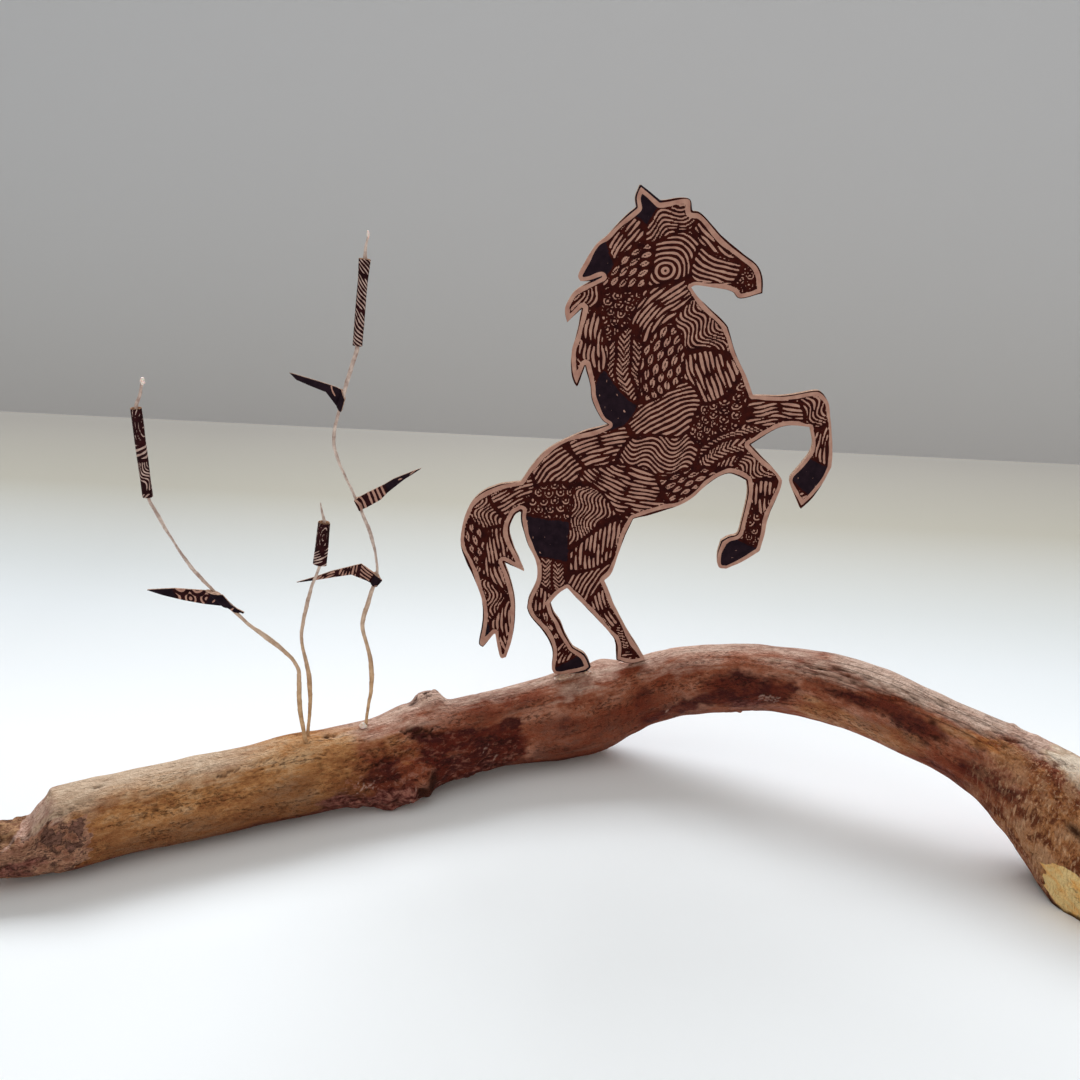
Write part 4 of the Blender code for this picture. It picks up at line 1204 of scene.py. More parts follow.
# Mm by which the lines of the print are fattened, on the card and on thin paper.
CARD_LINES, THIN_LINES = 0.03, 0.05
# The fringe's usual width and how much that wanders, and the least and most of it.
FRINGE, FRINGE_SWAY, FRINGE_LIMITS = 0.1, 0.7, (-0.3, 0.7)
INNER_LINE, INNER_SWAY, CUT_SWAY = 0.3, 0.22, 0.08


def contour_ink(points, inside, ink):
    """Bare contour line in the ink: fringe outside it, and a thin inked line inside it."""
    fringe = np.clip(FRINGE + FRINGE_SWAY * noise(points, (9.0, 9.0), 51), *FRINGE_LIMITS)
    inner = inside - fringe - CONTOUR - INNER_SWAY * noise(points, (3.0, 3.0), 52)
    return np.maximum(fringe - inside, np.minimum(inner, np.maximum(ink, INNER_LINE - inner)))


def printed_sheet(outline, step, fields, ink_of):
    """Rows of x, z, inside, ink and thick, triangles, and which are inked, cut at an outline.

    ink_of turns the points, their distance inside and the fields' ink into the ink and the
    distance that are cut.
    """
    flat, faces = triangle_grid(outline.min(axis=0) - MARGIN, outline.max(axis=0) + MARGIN, step)
    inside = inside_distance(flat, outline)
    near = (inside[faces] > -MARGIN).any(axis=1)
    rows, faces = used_only(np.column_stack([flat, inside]), faces[near])
    ink, thick = field_ink(rows[:, :2], fields)
    ink, inside = ink_of(rows[:, :2], rows[:, 2], ink)
    rows, faces, kept = cut_triangles(np.column_stack([rows[:, :2], inside, ink, thick]), faces, 2)
    rows, faces = used_only(rows, faces[kept])
    return cut_triangles(rows, faces, 3)


def printed_as(inked, thick):
    """Material numbers: 0 for ink, 1 for bare paper, 2 for ink that lies thick."""
    return np.where(inked, np.where(thick > 0.5, 2, 0), 1)


# %% Horse card
def horse_ink(points, inside, ink):
    """The card's ink with its contour, and the distance to the hand-cut edge."""
    trim = CUT_SWAY * noise(points, (2.5, 2.5), 53)
    return contour_ink(points, inside, ink + CARD_LINES), inside + trim


# Numbers of the cut edge's and the plain back's materials in a printed piece's list.
WALL, PLAIN = 3, 4


def horse_card():
    """Points, faces and material numbers of the card, its printed face towards the viewer."""
    rows, faces, inked = printed_sheet(horse_outline, PRINT_STEP, FIELDS, horse_ink)
    rims = rim_edges(faces)
    count = len(rows)
    front = np.column_stack([rows[:, 0], np.full(count, HORSE_Y - CARD / 2), rows[:, 1]])
    back = front + [0.0, CARD, 0.0]
    walls = np.column_stack([rims[:, ::-1], rims + count])
    points, numbers = used_only(np.vstack([front, back]),
                                np.concatenate([faces.ravel(), walls.ravel()]))
    card = [*numbers[:faces.size].reshape(-1, 3).tolist(),
            *numbers[faces.size:].reshape(-1, 4).tolist()]
    printed = printed_as(inked, rows[faces, 4].mean(axis=1))
    return points, card, np.concatenate([printed, np.full(len(walls), WALL)])


card_points, card_faces, card_which = horse_card()
print("card has", len(card_faces), "faces,", int((card_which % 2 == 0).sum()), "of them inked")

# %% [markdown]
# ## Ink, kraft paper and card
# The paper is brown kraft: unbleached pulp, so it is warm tan with darker fibres. The ink
# is a block-printing black that dries matt and lets a little of the brown through, with a
# mottled lay. Where nearly all of a field is inked it lies thick, and is a cooler black
# with a little more sheen. On thin paper it is darker, and the heads' bare paper is
# greyer. The card's cut edge is pale, with darker layers. The fibres and the mottling are
# drawn coarser than they are, so that they show.

# %% Print finishes
FIBRE = 0.5
MOTTLE = 2.2
TOOTH = 0.05


def paper_noise(mat, size, detail=3.0):
    """Noise in cells of a size in mm, on the piece's own coordinates."""
    place = add(mat, "TexCoord", take="Object")
    return add(mat, "TexNoise", {"Vector": place, "Scale": 1.0 / (size * MM), "Detail": detail,
                                 "Roughness": 0.6})


def two_tone(name, dark, light, size, roughness, strength):
    """A matt finish that wanders between two colours in patches of a size in mm."""
    mat = new_material(name, {"Roughness": roughness, "Specular IOR Level": 0.04})
    shade = add(mat, "ValToRGB", [paper_noise(mat, size)], ramp=[(0.3, dark), (0.7, light)])
    dress(mat, shade, paper_noise(mat, FIBRE), TOOTH, strength)
    return mat


ink_finish = two_tone("block printing ink", "#260b0c", "#42160f", MOTTLE, 0.7, 0.3)
thick_ink_finish = two_tone("thick block printing ink", "#190f17", "#281a22", MOTTLE, 0.6, 0.3)
kraft_finish = two_tone("kraft paper", "#a87b6d", "#c09786", MOTTLE, 0.85, 0.6)
edge_finish = two_tone("cut card edge", "#7d5a48", "#d2b09a", FIBRE, 0.9, 0.8)
thin_ink_finish = two_tone("block printing ink on thin paper", "#1f0c0f", "#381719",
                           MOTTLE, 0.7, 0.3)
thin_kraft_finish = two_tone("thin kraft paper", "#a98a80", "#d3b9ae", MOTTLE, 0.85, 0.6)
plain_finish = two_tone("plain kraft paper", "#a67c60", "#bd9375", MOTTLE, 0.88, 0.6)

horse = make_piece("horse", card_points, card_faces,
                   [ink_finish, kraft_finish, thick_ink_finish, edge_finish, plain_finish],
                   card_which, smooth=False)
back_faces = [face for face in horse.data.polygons if face.normal.y > 0.9]
for face in back_faces:
    face.material_index = PLAIN
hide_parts("horse_cutout")
print("back of the horse:", len(back_faces), "face")

# %% [markdown]
# ## The reeds' stems
# Each stem is thin wire wound with a strip of kraft paper, bent by hand. The wrap shows as
# a slow spiral step, and it is fatter where the paper overlaps. It is a tube along the
# stem's path, whose radius grows round the spiral and drops back at the paper's edge.

# %% Stems
STEM_RADIUS = 0.65
HOLE_DEPTH = 8.0
# The stem's end stays this far above the bottom of its hole.
HOLE_REST = 0.5
STEMS = {
    "left": [
        (-71.2, -1.4, 23.0), (-71.7, -1.8, 29.0), (-71.9, -2.1, 34.4), (-71.6, -2.2, 40.6),
        (-71.4, -2.4, 45.2), (-72.8, -2.5, 48.5), (-74.8, -2.6, 50.9), (-77.8, -2.7, 53.9),
        (-81.3, -2.8, 56.9), (-84.3, -2.8, 59.6), (-91.6, -3.1, 68.3), (-97.1, -3.3, 75.5),
        (-101.8, -3.6, 84.7), (-104.6, -3.8, 91.4), (-105.9, -3.9, 95.0),
        (-105.9, -4.6, 118.2), (-104.6, -4.7, 121.5), (-103.5, -4.8, 125.0),
    ],
    "middle": [
        (-71.2, 1.6, 23.0), (-70.7, 1.9, 26.5), (-69.9, 2.2, 33.0), (-69.8, 2.5, 41.5),
        (-70.6, 2.7, 47.2), (-71.1, 2.8, 51.4), (-70.6, 2.9, 55.8), (-67.6, 3.2, 66.6),
        (-65.3, 3.4, 72.0), (-64.7, 3.5, 73.8), (-62.9, 3.8, 85.4), (-63.4, 3.9, 88.2),
        (-63.6, 4.0, 90.7),
    ],
    "right": [
        (-55.7, 7.5, 23.0), (-54.8, 7.7, 28.5), (-53.7, 7.8, 33.9), (-53.3, 7.9, 40.1),
        (-53.7, 8.0, 45.3), (-54.9, 8.2, 51.0), (-55.1, 8.2, 54.5), (-53.3, 8.4, 60.3),
        (-51.6, 8.5, 65.3), (-50.5, 8.6, 68.4), (-50.4, 8.7, 72.3), (-50.9, 8.8, 76.6),
        (-52.0, 8.9, 81.4), (-55.1, 9.1, 90.1), (-58.6, 9.3, 98.9), (-59.8, 9.4, 103.0),
        (-60.1, 9.4, 106.5), (-59.2, 9.6, 111.1), (-57.2, 9.7, 117.3), (-55.2, 9.8, 123.4),
        (-53.3, 10.0, 128.6), (-52.6, 10.0, 131.0), (-49.7, 10.5, 152.6),
        (-49.2, 10.6, 156.0), (-48.6, 10.7, 158.4),
    ],
}
# Share of the way up each stem, and its mean radius there.
STEM_TAPER = {
    "left": [(0.0, 0.6), (0.25, 0.62), (0.42, 0.5), (0.5, 0.4), (0.8, 0.38),
             (0.95, 0.44), (1.0, 0.4)],
    "middle": [(0.0, 0.56), (0.45, 0.56), (0.7, 0.48), (0.9, 0.46), (1.0, 0.24)],
    "right": [(0.0, 0.52), (0.3, 0.54), (0.4, 0.42), (0.62, 0.4), (0.75, 0.46), (0.9, 0.4),
              (0.965, 0.46), (1.0, 0.2)],
}
print("stem points:", {name: len(points) for name, points in STEMS.items()})

# %% A wrapped tube
WRAP_RISE = 5.5
WRAP_STEP = 0.09
STEM_SIDES = 18
STEM_RING = 0.28
STEM_STEPS = 8
# How far the spiral slips in turns, how far the paper stands off in mm, and the cells.
SPIRAL_SLIP, SLIP_CELL, LOOSE, LOOSE_CELL = 0.35, 9.0, 0.09, 6.0
# A stem is a little flat, and its flat sides come round again after this many mm.
FLATNESS, FLAT_TURN = 0.14, 23.0


def tube(path, radius):
    """Points and faces round a path: centre + radius * (side * cos + front * sin).

    radius is a number for each ring and side. Both ends are closed by a face.
    """
    ahead = unit(np.gradient(path, axis=0))
    side = unit(np.cross(ahead, [0.0, 1.0, 0.0]))
    front = np.cross(ahead, side)
    turn = np.linspace(0.0, 2.0 * np.pi, radius.shape[1], endpoint=False)[None, :, None]
    arms = side[:, None] * np.cos(turn) + front[:, None] * np.sin(turn)
    points = path[:, None] + arms * radius[..., None]
    rows, columns = radius.shape
    numbers = np.arange(rows * columns).reshape(rows, columns)
    faces = [*grid_faces(rows, columns).tolist(), numbers[0, ::-1].tolist(), numbers[-1].tolist()]
    return points.reshape(-1, 3), faces


def stem_path(name):
    """The stem's smooth path from the bottom of its hole to its tip, in even steps."""
    mouth, second = np.array(STEMS[name][0]), np.array(STEMS[name][1])
    bottom = mouth - unit(second - mouth) * (HOLE_DEPTH - HOLE_REST)
    path = bent_wire([bottom, *STEMS[name]], STEM_STEPS)
    return even_path(path, int(path_lengths(path)[-1] / STEM_RING))


def wrapped_stem(name, seed):
    """Tube whose radius climbs by the paper's thickness round each turn of the spiral."""
    path = stem_path(name)
    run = path_lengths(path)[:, None]
    turn = np.arange(STEM_SIDES)[None, :] / STEM_SIDES
    slip = SPIRAL_SLIP * noise(run, (SLIP_CELL,), seed)[:, None]
    spiral = (turn + run / WRAP_RISE + slip) % 1.0
    loose = LOOSE * noise(np.hstack([run, run * 0.0]), (LOOSE_CELL, 1.0), seed + 1)[:, None]
    taper = np.interp(run / run[-1], *zip(*STEM_TAPER[name]))
    radius = taper - WRAP_STEP / 3 + WRAP_STEP * spiral ** 2 + loose
    flat = FLATNESS * np.cos(2.0 * np.pi * (2.0 * turn + run / FLAT_TURN))
    return tube(path, radius * (1.0 + flat))


# %% Stem pieces
# Heights in metres between which the paper turns from tan to rosy.
TAN_BELOW, ROSY_ABOVE = 0.035, 0.075


def stem_paper():
    """Kraft strip: tan near the wood, and greyer and rosier where it was handled, above."""
    mat = new_material("wrapped kraft strip", {"Roughness": 0.8})
    own_place = add(mat, "TexCoord", take="Object")
    height = add(mat, "SeparateXYZ", [own_place], take="Z")
    above = add(mat, "MapRange", (height, TAN_BELOW, ROSY_ABOVE))
    tan, rosy = (add(mat, "ValToRGB", [paper_noise(mat, size)], ramp=[(0.35, dark), (0.65, light)])
                 for size, dark, light in ((2.5, "#b0875f", "#dcb78f"), (2.0, "#a58a80", "#dcc8bc")))
    paper = add(mat, "Mix", {MIX: above, A: tan, B: rosy}, MIXED, data_type="RGBA")
    dress(mat, paper, paper_noise(mat, FIBRE), deep=0.08, strength=0.6)
    return mat


stem_finish = stem_paper()
for number, name in enumerate(STEMS):
    stem_points, stem_faces = wrapped_stem(name, 60 + 3 * number)
    stem = make_piece(name + "_stem", stem_points, stem_faces, [stem_finish])
    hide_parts("reed_stem_" + name)

# %% [markdown]
# ## Seed heads
# Each head is a strip of the same printed paper rolled round its stem. The roll is a
# spiral: its radius grows with each turn by a little more than the paper is thick, and the
# strip's loose edge ends in a small step. The print is cut on the flat strip, and then the
# flat strip is rolled up, so the ink wraps with the paper.

# %% Heads
PAPER = 0.12
TURNS = 2.35
# Each head: the number of its first stem point, its outer radius at shares of its length,
# and its fields, as for the horse.
HEADS = {
    "left": (14, [(0.0, 1.45), (1.0, 1.55)],
             [(7, 1, 40, 2, strokes, 0.8), (5, 5, 130, 2, waves, 0.85),
              (7, 9, 50, 2, strokes, 0.8), (5, 13.5, 2, 2, stripes, 1.4),
              (7, 20.5, 96, 1.5, loops, 0.9), (2.5, 20, 85, 1.5, loops, 0.9)]),
    "middle": (9, [(0.0, 2.15), (1.0, 1.75)],
               [(8, 1, 25, 2, strokes, 0.9), (10, 4, 150, 2, strokes, 0.9),
                (3, 4, 30, 2, strokes, 0.9),
                (8, 8.5, 75, 1.5, loops, 0.8), (2, 8.5, 100, 1.5, loops, 0.8)]),
    "right": (21, [(0.0, 1.35), (0.25, 1.45), (0.5, 1.4), (0.75, 1.35), (1.0, 1.65)],
              [(5, 3, 150, 2, stripes, 0.8), (8, 8, 60, 2, waves, 0.9),
               (5, 13, 145, 2, stripes, 0.85), (8, 18, 150, 2, strokes, 0.85),
               (4, 21, 140, 2, stripes, 0.8)]),
}
print("strips are rolled", TURNS, "times round")

# %% Rolling a strip
ROLL_STEP = 0.2
# Room between the stem and the innermost turn, and how far the roll is dented.
ROLL_ROOM, DENT = 0.25, 0.06
# Where the loose edge lies: radians round the stem, and how much it leans by the top.
EDGE_AT, EDGE_LEAN = 2.6, 0.25


def paper_head(name):
    """Points, triangles and material numbers of one rolled strip, before its thickness.

    v runs round the roll and u along the stem. The turn at v is v / girth, the radius is
    the outer radius less what the turns outside it take up.
    """
    first, profile, fields = HEADS[name]
    start, end = (np.array(p) for p in STEMS[name][first:first + 2])
    length = np.linalg.norm(end - start)
    ahead = unit(end - start)
    side = unit(np.cross(ahead, [0.0, 1.0, 0.0]))
    front = np.cross(ahead, side)
    girth = 2.0 * np.pi * np.mean([radius for _, radius in profile])
    size = np.array([girth * TURNS, length])
    flat, faces = triangle_grid(np.zeros(2), size, ROLL_STEP)
    flat = np.minimum(flat, size)
    ink, _ = field_ink(np.column_stack([flat[:, 0] % girth, flat[:, 1]]), fields)
    rows, faces, inked = cut_triangles(np.column_stack([flat, ink + THIN_LINES]), faces, 2)
    turn, u = rows[:, 0] / girth, rows[:, 1]
    share = u / length
    outer = np.interp(share, *zip(*profile))
    pitch = (outer - STEM_RADIUS - ROLL_ROOM) / TURNS
    dent = DENT * noise(np.column_stack([u, turn * 3.0]), (5.0, 1.0), 71)
    radius = outer - pitch * (TURNS - turn) + dent
    spin = 2.0 * np.pi * (turn - TURNS) + EDGE_AT + EDGE_LEAN * share
    arms = side * np.cos(spin)[:, None] + front * np.sin(spin)[:, None]
    points = start + ahead * u[:, None] + arms * radius[:, None]
    return points, faces[:, ::-1], np.where(inked, 0, 1)


def thicken(piece, thickness, plain_from):
    """Gives a thin sheet its thickness, the far side and the edges in the plain materials."""
    sheet = piece.modifiers.new("thickness", "SOLIDIFY")
    sheet.thickness = thickness * MM
    sheet.offset = -1.0
    sheet.use_even_offset = True
    sheet.material_offset = plain_from
    sheet.material_offset_rim = plain_from


sheet_finishes = [thin_ink_finish, thin_kraft_finish, plain_finish, plain_finish]
for name in HEADS:
    head_points, head_faces, head_which = paper_head(name)
    head_mesh = new_mesh(name + "_head", head_points, head_faces.tolist(), sheet_finishes,
                         head_which)
    head_mesh.shade_smooth()
    head = set_down(head_mesh)
    thicken(head, PAPER, 2)
    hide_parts("reed_head_" + name)

# %% [markdown]
# ## Leaves
# A leaf is a pointed strip folded once round its stem, its two halves glued to each
# other. So it is thin and flat, with a soft ridge where it hugs the wire. Front and back
# are the same outline, each pushed out by a fifth of a mm, and by more near the stem.

# %% Leaves
LEAF_HALF = 0.22
# Radius of the round ridge over the stem.
HUG = 0.95
# Each leaf: its stem and first stem point, the degrees its ends swing towards the viewer,
# its outline (x, z), and its fields. The hooked leaf's second seed is far off, so that one
# field fills the leaf.
LEAVES = {
    "leaf_left_stem": ("left", 9, 6.0, [
        (-108.8, 70.0), (-101.6, 70.2), (-93.7, 69.3), (-89.4, 67.7), (-87.6, 65.0),
        (-86.2, 63.7), (-84.4, 62.5), (-84.6, 62.1), (-86.6, 63.0), (-88.2, 64.4),
        (-89.9, 64.7), (-94.4, 65.5), (-99.6, 66.8), (-104.8, 68.4)],
        [(-107.5, 70, 0, 1, solid, 1.6), (-98, 70.7, 84, 1, scales, 1.85),
         (-86.5, 65, 30, 1, solid, 1.6)]),
    "leaf_hooked": ("right", 17, -5.0, [
        (-70.7, 124.0), (-63.3, 121.9), (-59.0, 120.5), (-57.3, 119.6), (-56.6, 117.1),
        (-57.7, 113.7), (-61.4, 119.0), (-65.2, 120.5), (-68.9, 122.1)],
        [(-58.7, 119.7, 98, 1, slit, 1.0), (-80, 130, 98, 1, slit, 1.0)]),
    "leaf_raised": ("right", 12, 6.0, [
        (-54.2, 87.2), (-55.4, 90.2), (-47.4, 94.3), (-44.7, 96.0), (-39.6, 98.2),
        (-36.8, 99.3), (-42.1, 95.7), (-46.5, 92.1), (-48.4, 90.1), (-52.3, 87.8)],
        [(-54.3, 88.6, 30, 1, rings, 1.1), (-49.6, 91.4, 116, 1, stripes, 1.35),
         (-44, 94.6, 30, 1, solid, 1.7), (-39.2, 98.0, 33, 1, slit, 1.2)]),
    "leaf_bent": ("right", 8, -4.0, [
        (-73.6, 65.6), (-67.4, 67.7), (-62.9, 69.5), (-54.6, 71.8), (-50.4, 68.6),
        (-49.1, 66.8), (-50.6, 65.1), (-53.2, 66.8), (-57.5, 68.6), (-62.5, 67.7),
        (-68.5, 66.5)],
        [(-72, 66, 15, 1, solid, 1.6), (-64, 68.4, 35, 1, strokes, 0.75),
         (-58, 70, 70, 1, strokes, 0.8),
         (-52.6, 68.6, 140, 1, stripes, 0.85), (-49.6, 66.4, 0, 1, solid, 1.2)]),
}
print("leaves:", ", ".join(LEAVES))

# %% Folding a leaf
LEAF_STEP = 0.22
# Height and reach of the soft slope beside the ridge, and height and length of the curl.
SLOPE, SLOPE_REACH, CURL, CURL_LENGTH = 0.35, 1.3, 0.25, 7.0


def leaf_ink(points, inside, ink):
    """A leaf's ink and outline as they are: it has no contour."""
    return ink, inside


def folded_leaf(name):
    """Points, faces and material numbers of a closed leaf.

    The half thickness is LEAF_HALF, or more near the stem: a round ridge sqrt(HUG^2 - d^2)
    with a slope beside it, where d is the distance to the stem's line.
    """
    stem, first, swing, corners, fields = LEAVES[name]
    a, b = (np.array(p) for p in STEMS[stem][first:first + 2])
    rows, faces, inked = printed_sheet(np.array(corners, float), LEAF_STEP, fields, leaf_ink)
    x, z, _, _, thick = rows.T
    way = unit((b - a)[[0, 2]])
    off = np.stack([x, z], 1) - a[[0, 2]]
    away = np.abs(off[:, 0] * way[1] - off[:, 1] * way[0])
    ridge = np.sqrt(np.maximum(HUG ** 2 - away ** 2, 0.0))
    half = np.maximum(LEAF_HALF, ridge + SLOPE * np.exp(-(away / SLOPE_REACH) ** 2))
    curl = CURL * np.sin((x - a[0]) / CURL_LENGTH)
    heart = (a[1] + b[1]) / 2 - np.abs(x - a[0]) * math.tan(math.radians(swing)) + curl
    rims = rim_edges(faces)
    walls = np.column_stack([rims[:, ::-1], rims + len(rows)])
    leaf = [*faces.tolist(), *(faces[:, ::-1] + len(rows)).tolist(), *walls.tolist()]
    printed = printed_as(inked, thick[faces].mean(axis=1))
    which = np.concatenate([printed, printed, np.full(len(walls), WALL)])
    points = [np.column_stack([x, heart + way_out, z]) for way_out in (-half, half)]
    return np.vstack(points), leaf, which


for name in LEAVES:
    leaf_points, leaf_faces, leaf_which = folded_leaf(name)
    leaf = make_piece(name + "_paper", leaf_points, leaf_faces,
                      [thin_ink_finish, kraft_finish, thick_ink_finish, edge_finish],
                      leaf_which, smooth=False)
    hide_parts(name)

# %% [markdown]
# ## Glue
# Clear craft glue holds the hooves and the stems, and it has dried in small whitish drops
# and smears. A drop is a ball that has been flattened on the wood and made uneven. It is
# set down by its place on the wood: the heart's x and the angle round it. The tips of two
# stems are drops as well.

# %% Glue
# In mm: the patches of its colour, and how far light scatters in it.
GLUE_CELL, GLUE_SCATTER = 0.8, 0.6


def glue_finish(name, dark, light):
    """Dried craft glue: milky, smooth and half clear, with a refractive index near 1.5."""
    mat = new_material(name, {"Roughness": 0.35, "IOR": 1.5, "Subsurface Weight": 0.3,
                              "Subsurface Scale": GLUE_SCATTER * MM})
    dress(mat, add(mat, "ValToRGB", [paper_noise(mat, GLUE_CELL)],
                   ramp=[(0.35, dark), (0.65, light)]))
    return mat


def wood_spot(x, angle):
    """The point of the wood's surface at a heart x and an angle, and the way out of it."""
    path = smooth_path(WOOD, HEART_STEPS)[:, :3]
    heart, ahead = (np.array([np.interp(x, path[:, 0], column) for column in way.T])
                    for way in (path, np.gradient(path, axis=0)))
    ahead = unit(ahead)
    side = unit(np.cross(ahead, UP))
    turn = math.radians(angle)
    out = side * math.cos(turn) + np.cross(side, ahead) * math.sin(turn)
    flat = wood_points.reshape(-1, 3)
    along = (flat - heart) @ out
    off_line = np.linalg.norm(flat - heart - along[:, None] * out, axis=1)
    return flat[np.where(along < 0.0, np.inf, off_line).argmin()], out


# %% Drops
DROP_RINGS, DROP_SIDES = 18, 28
DROP_BUMPS, DROP_CELL = 0.22, 0.7


def drop(centre, out, wide, tall, seed, long_way, long=1.0):
    """An uneven drop: a ball stretched along a way, flattened along out, bumped by noise."""
    rise = np.linspace(-1.0, 1.0, DROP_RINGS + 2)[1:-1, None] * np.pi / 2
    turn = np.linspace(0.0, 2.0 * np.pi, DROP_SIDES, endpoint=False)[None, :]
    first = unit(np.array(long_way))
    second = np.cross(out, first)
    ball = (np.cos(rise) * np.cos(turn))[..., None] * first * long \
        + (np.cos(rise) * np.sin(turn))[..., None] * second
    ball = ball * wide + (np.sin(rise) * tall + 0.0 * turn)[..., None] * out
    uneven_by = 1.0 + DROP_BUMPS * noise(ball / wide, (DROP_CELL,) * 3, seed)
    points = (centre + ball * uneven_by[..., None]).reshape(-1, 3)
    poles = centre + np.array([[-tall], [tall]]) * out
    numbers = np.arange(len(points)).reshape(DROP_RINGS, DROP_SIDES)
    fan = np.roll(numbers, -1, axis=1)
    south, north = np.full(DROP_SIDES, len(points)), np.full(DROP_SIDES, len(points) + 1)
    ends = [*np.column_stack([fan[0], numbers[0], south]).tolist(),
            *np.column_stack([numbers[-1], fan[-1], north]).tolist()]
    return np.vstack([points, poles]), [*grid_faces(DROP_RINGS, DROP_SIDES).tolist(), *ends]


# %% Glue pieces
# Heart x, angle round the wood, half width, height, how many times as long, seed.
GLUE_SPOTS = {
    "glue_near_hoof": (3.0, 88.0, 1.5, 0.4, 2.4, 81),
    "glue_near_hoof_toe": (11.5, 84.0, 0.9, 0.6, 1.4, 82),
    "glue_far_hoof": (22.5, 92.0, 0.8, 0.4, 1.6, 83),
    "glue_right_stem": (-56.3, 88.0, 1.0, 1.2, 1.2, 85),
}
ALONG_WOOD = (1.0, 0.3, 0.1)
clean_glue = glue_finish("dried craft glue", "#e2c0b0", "#fff3ec")
dusty_glue = glue_finish("craft glue with wood dust", "#a87a66", "#e9c9b6")
for name, (x, angle, wide, tall, long, seed) in GLUE_SPOTS.items():
    spot, out = wood_spot(x, angle)
    drop_points, drop_faces = drop(spot, out, wide, tall, seed, ALONG_WOOD, long)
    make_piece(name, drop_points, drop_faces, [dusty_glue if "hoof" in name else clean_glue])

# Two stems end in a round drop: its half width and half height.
for name, wide, tall in (("left", 0.62, 1.0), ("right", 0.36, 1.15)):
    tip = np.array(STEMS[name][-1])
    drop_points, drop_faces = drop(tip, UP, wide, tall, 90, (-1.0, 0.0, 0.0))
    make_piece("glue_tip_" + name, drop_points, drop_faces, [clean_glue])

# %% [markdown]
# ## Floor, backdrop and light
# The work stood on a white table before a grey wall, seen a little askew, so two flat
# sheets are turned by the same few degrees and meet in a plain corner. The table's colour
# carries painted shade for the light falling off: brightest near the viewer, warmer and
# darker towards the wall, and a little darker on the left. The main light is a window's:
# large, soft, and from behind and above, so that the tops are light, the undersides are
# dark, and a soft shadow falls towards the viewer. Two weaker lights stand for the room and
# its ceiling.

# %% Floor and backdrop
FLOOR_FRONT, WALL_AT, FLOOR_HALF = -1.2, 0.408, 1.6
WALL_TOP = 1.2
STAGE_TURN = -10.8


def stage_sheet(name, front, back):
    """A flat sheet between two lines, each given by its y and z, turned by STAGE_TURN."""
    turn = math.radians(STAGE_TURN)
    corners = [(x * math.cos(turn) - y * math.sin(turn), x * math.sin(turn) + y * math.cos(turn), z)
               for x, (y, z) in ((-FLOOR_HALF, front), (FLOOR_HALF, front),
                                 (FLOOR_HALF, back), (-FLOOR_HALF, back))]
    mesh = bpy.data.meshes.new(name)
    mesh.from_pydata(corners, [], [(0, 1, 2, 3)])
    sheet = bpy.data.objects.new(name, mesh)
    bpy.context.scene.collection.objects.link(sheet)
    sheet.visible_shadow = False
    return sheet


floor = stage_sheet("floor", (FLOOR_FRONT, 0.0), (WALL_AT, 0.0))
wall = stage_sheet("wall", (WALL_AT, 0.0), (WALL_AT, WALL_TOP))

# The paint is painted shade for the light falling off: it changes with y, and with a share
# of x as its bands lie askew. The left part, from one x to another in metres, is darkened
# by up to a share, also as painted shade.
BAND_SLANT = 0.177
DARK_LEFT_OF, LIGHT_RIGHT_OF, LEFT_SHADE = -0.2, -0.03, 0.12
floor_paint_and_shade = new_material("matt white paint with painted shade", {"Roughness": 0.7, "Specular IOR Level": 0.1})
on_floor = add(floor_paint_and_shade, "NewGeometry", take="Position")
x_on_floor, y_on_floor = (add(floor_paint_and_shade, "SeparateXYZ", [on_floor], take=way) for way in "XY")
to_wall = add(floor_paint_and_shade, "Math", (x_on_floor, BAND_SLANT, y_on_floor), operation="MULTIPLY_ADD")
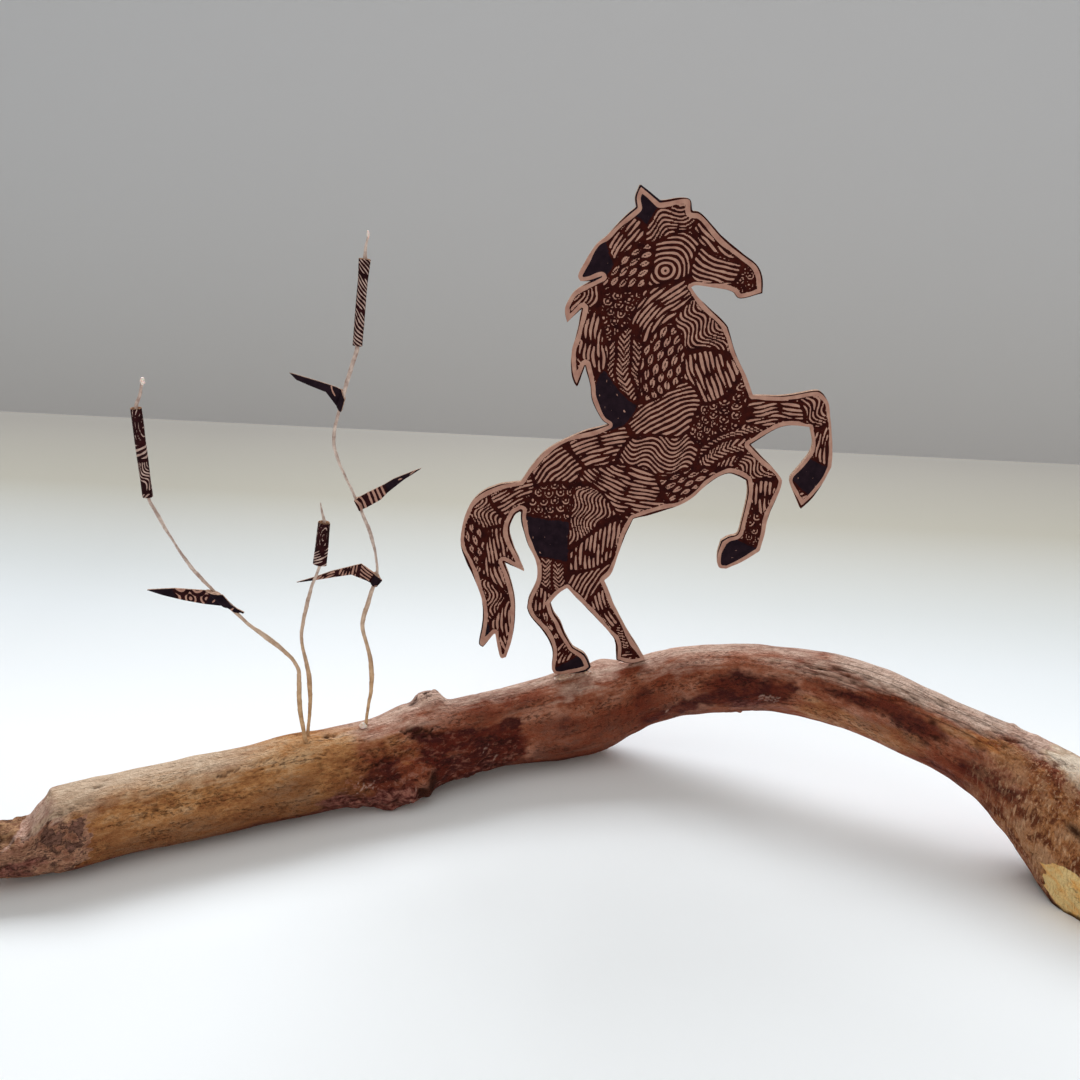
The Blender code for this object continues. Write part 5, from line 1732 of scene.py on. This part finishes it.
# Painted shade: light near the viewer, darker and warmer towards the wall.
paint = add(floor_paint_and_shade, "ValToRGB", [to_wall],
            ramp=[(0.02, "#fbfdff"), (0.12, "#dfe2e4"), (0.17, "#cdcfce"), (0.28, "#aba69a"),
                  (0.4, "#96918a")])
shade = add(floor_paint_and_shade, "MapRange", (x_on_floor, DARK_LEFT_OF, LIGHT_RIGHT_OF, LEFT_SHADE, 0.0))
dress(floor_paint_and_shade, add(floor_paint_and_shade, "Mix", {MIX: shade, A: paint, B: "#000000"}, MIXED,
                       data_type="RGBA"))
floor.data.materials.append(floor_paint_and_shade)
wall.data.materials.append(new_material("matt grey paint", {"Roughness": 0.8,
                                                            "Base Color": "#cfd0d4"}))
print("wall meets the floor", WALL_AT, "m behind the work's middle")

# %% Light
ROOM_COLOUR, ROOM_STRENGTH = (0.97, 0.96, 0.89, 1.0), 0.28
world = bpy.data.worlds.new("soft room light")
bpy.context.scene.world = world
world.use_nodes = True
world.node_tree.nodes["Background"].inputs["Color"].default_value = ROOM_COLOUR
world.node_tree.nodes["Background"].inputs["Strength"].default_value = ROOM_STRENGTH


def softbox(name, place, aim, size, power, colour):
    """An area light of a width and height at a place in metres, turned to face its aim."""
    lamp = bpy.data.lights.new(name, "AREA")
    lamp.shape = "RECTANGLE"
    lamp.size, lamp.size_y = size
    lamp.energy, lamp.color = power, colour
    light = bpy.data.objects.new(name, lamp)
    light.location = place
    away = np.array(place) - np.array(aim)
    light.rotation_euler = (math.acos(away[2] / np.linalg.norm(away)), 0.0,
                            math.atan2(away[1], away[0]) + math.pi / 2)
    bpy.context.scene.collection.objects.link(light)


softbox("window", (-0.1, 1.15, 1.05), (0.0, 0.0, 0.0), (1.8, 0.6), 28.0, (0.955, 1.0, 1.04))
softbox("room", (0.0, -1.1, 0.35), (0.0, 0.0, 0.05), (1.6, 0.7), 2.85, (1.0, 0.92, 0.83))
softbox("ceiling", (0.0, -0.3, 1.3), (0.0, -0.1, 0.0), (1.6, 1.6), 4.6, (0.98, 0.99, 1.0))
bpy.context.scene.view_settings.view_transform = "Standard"
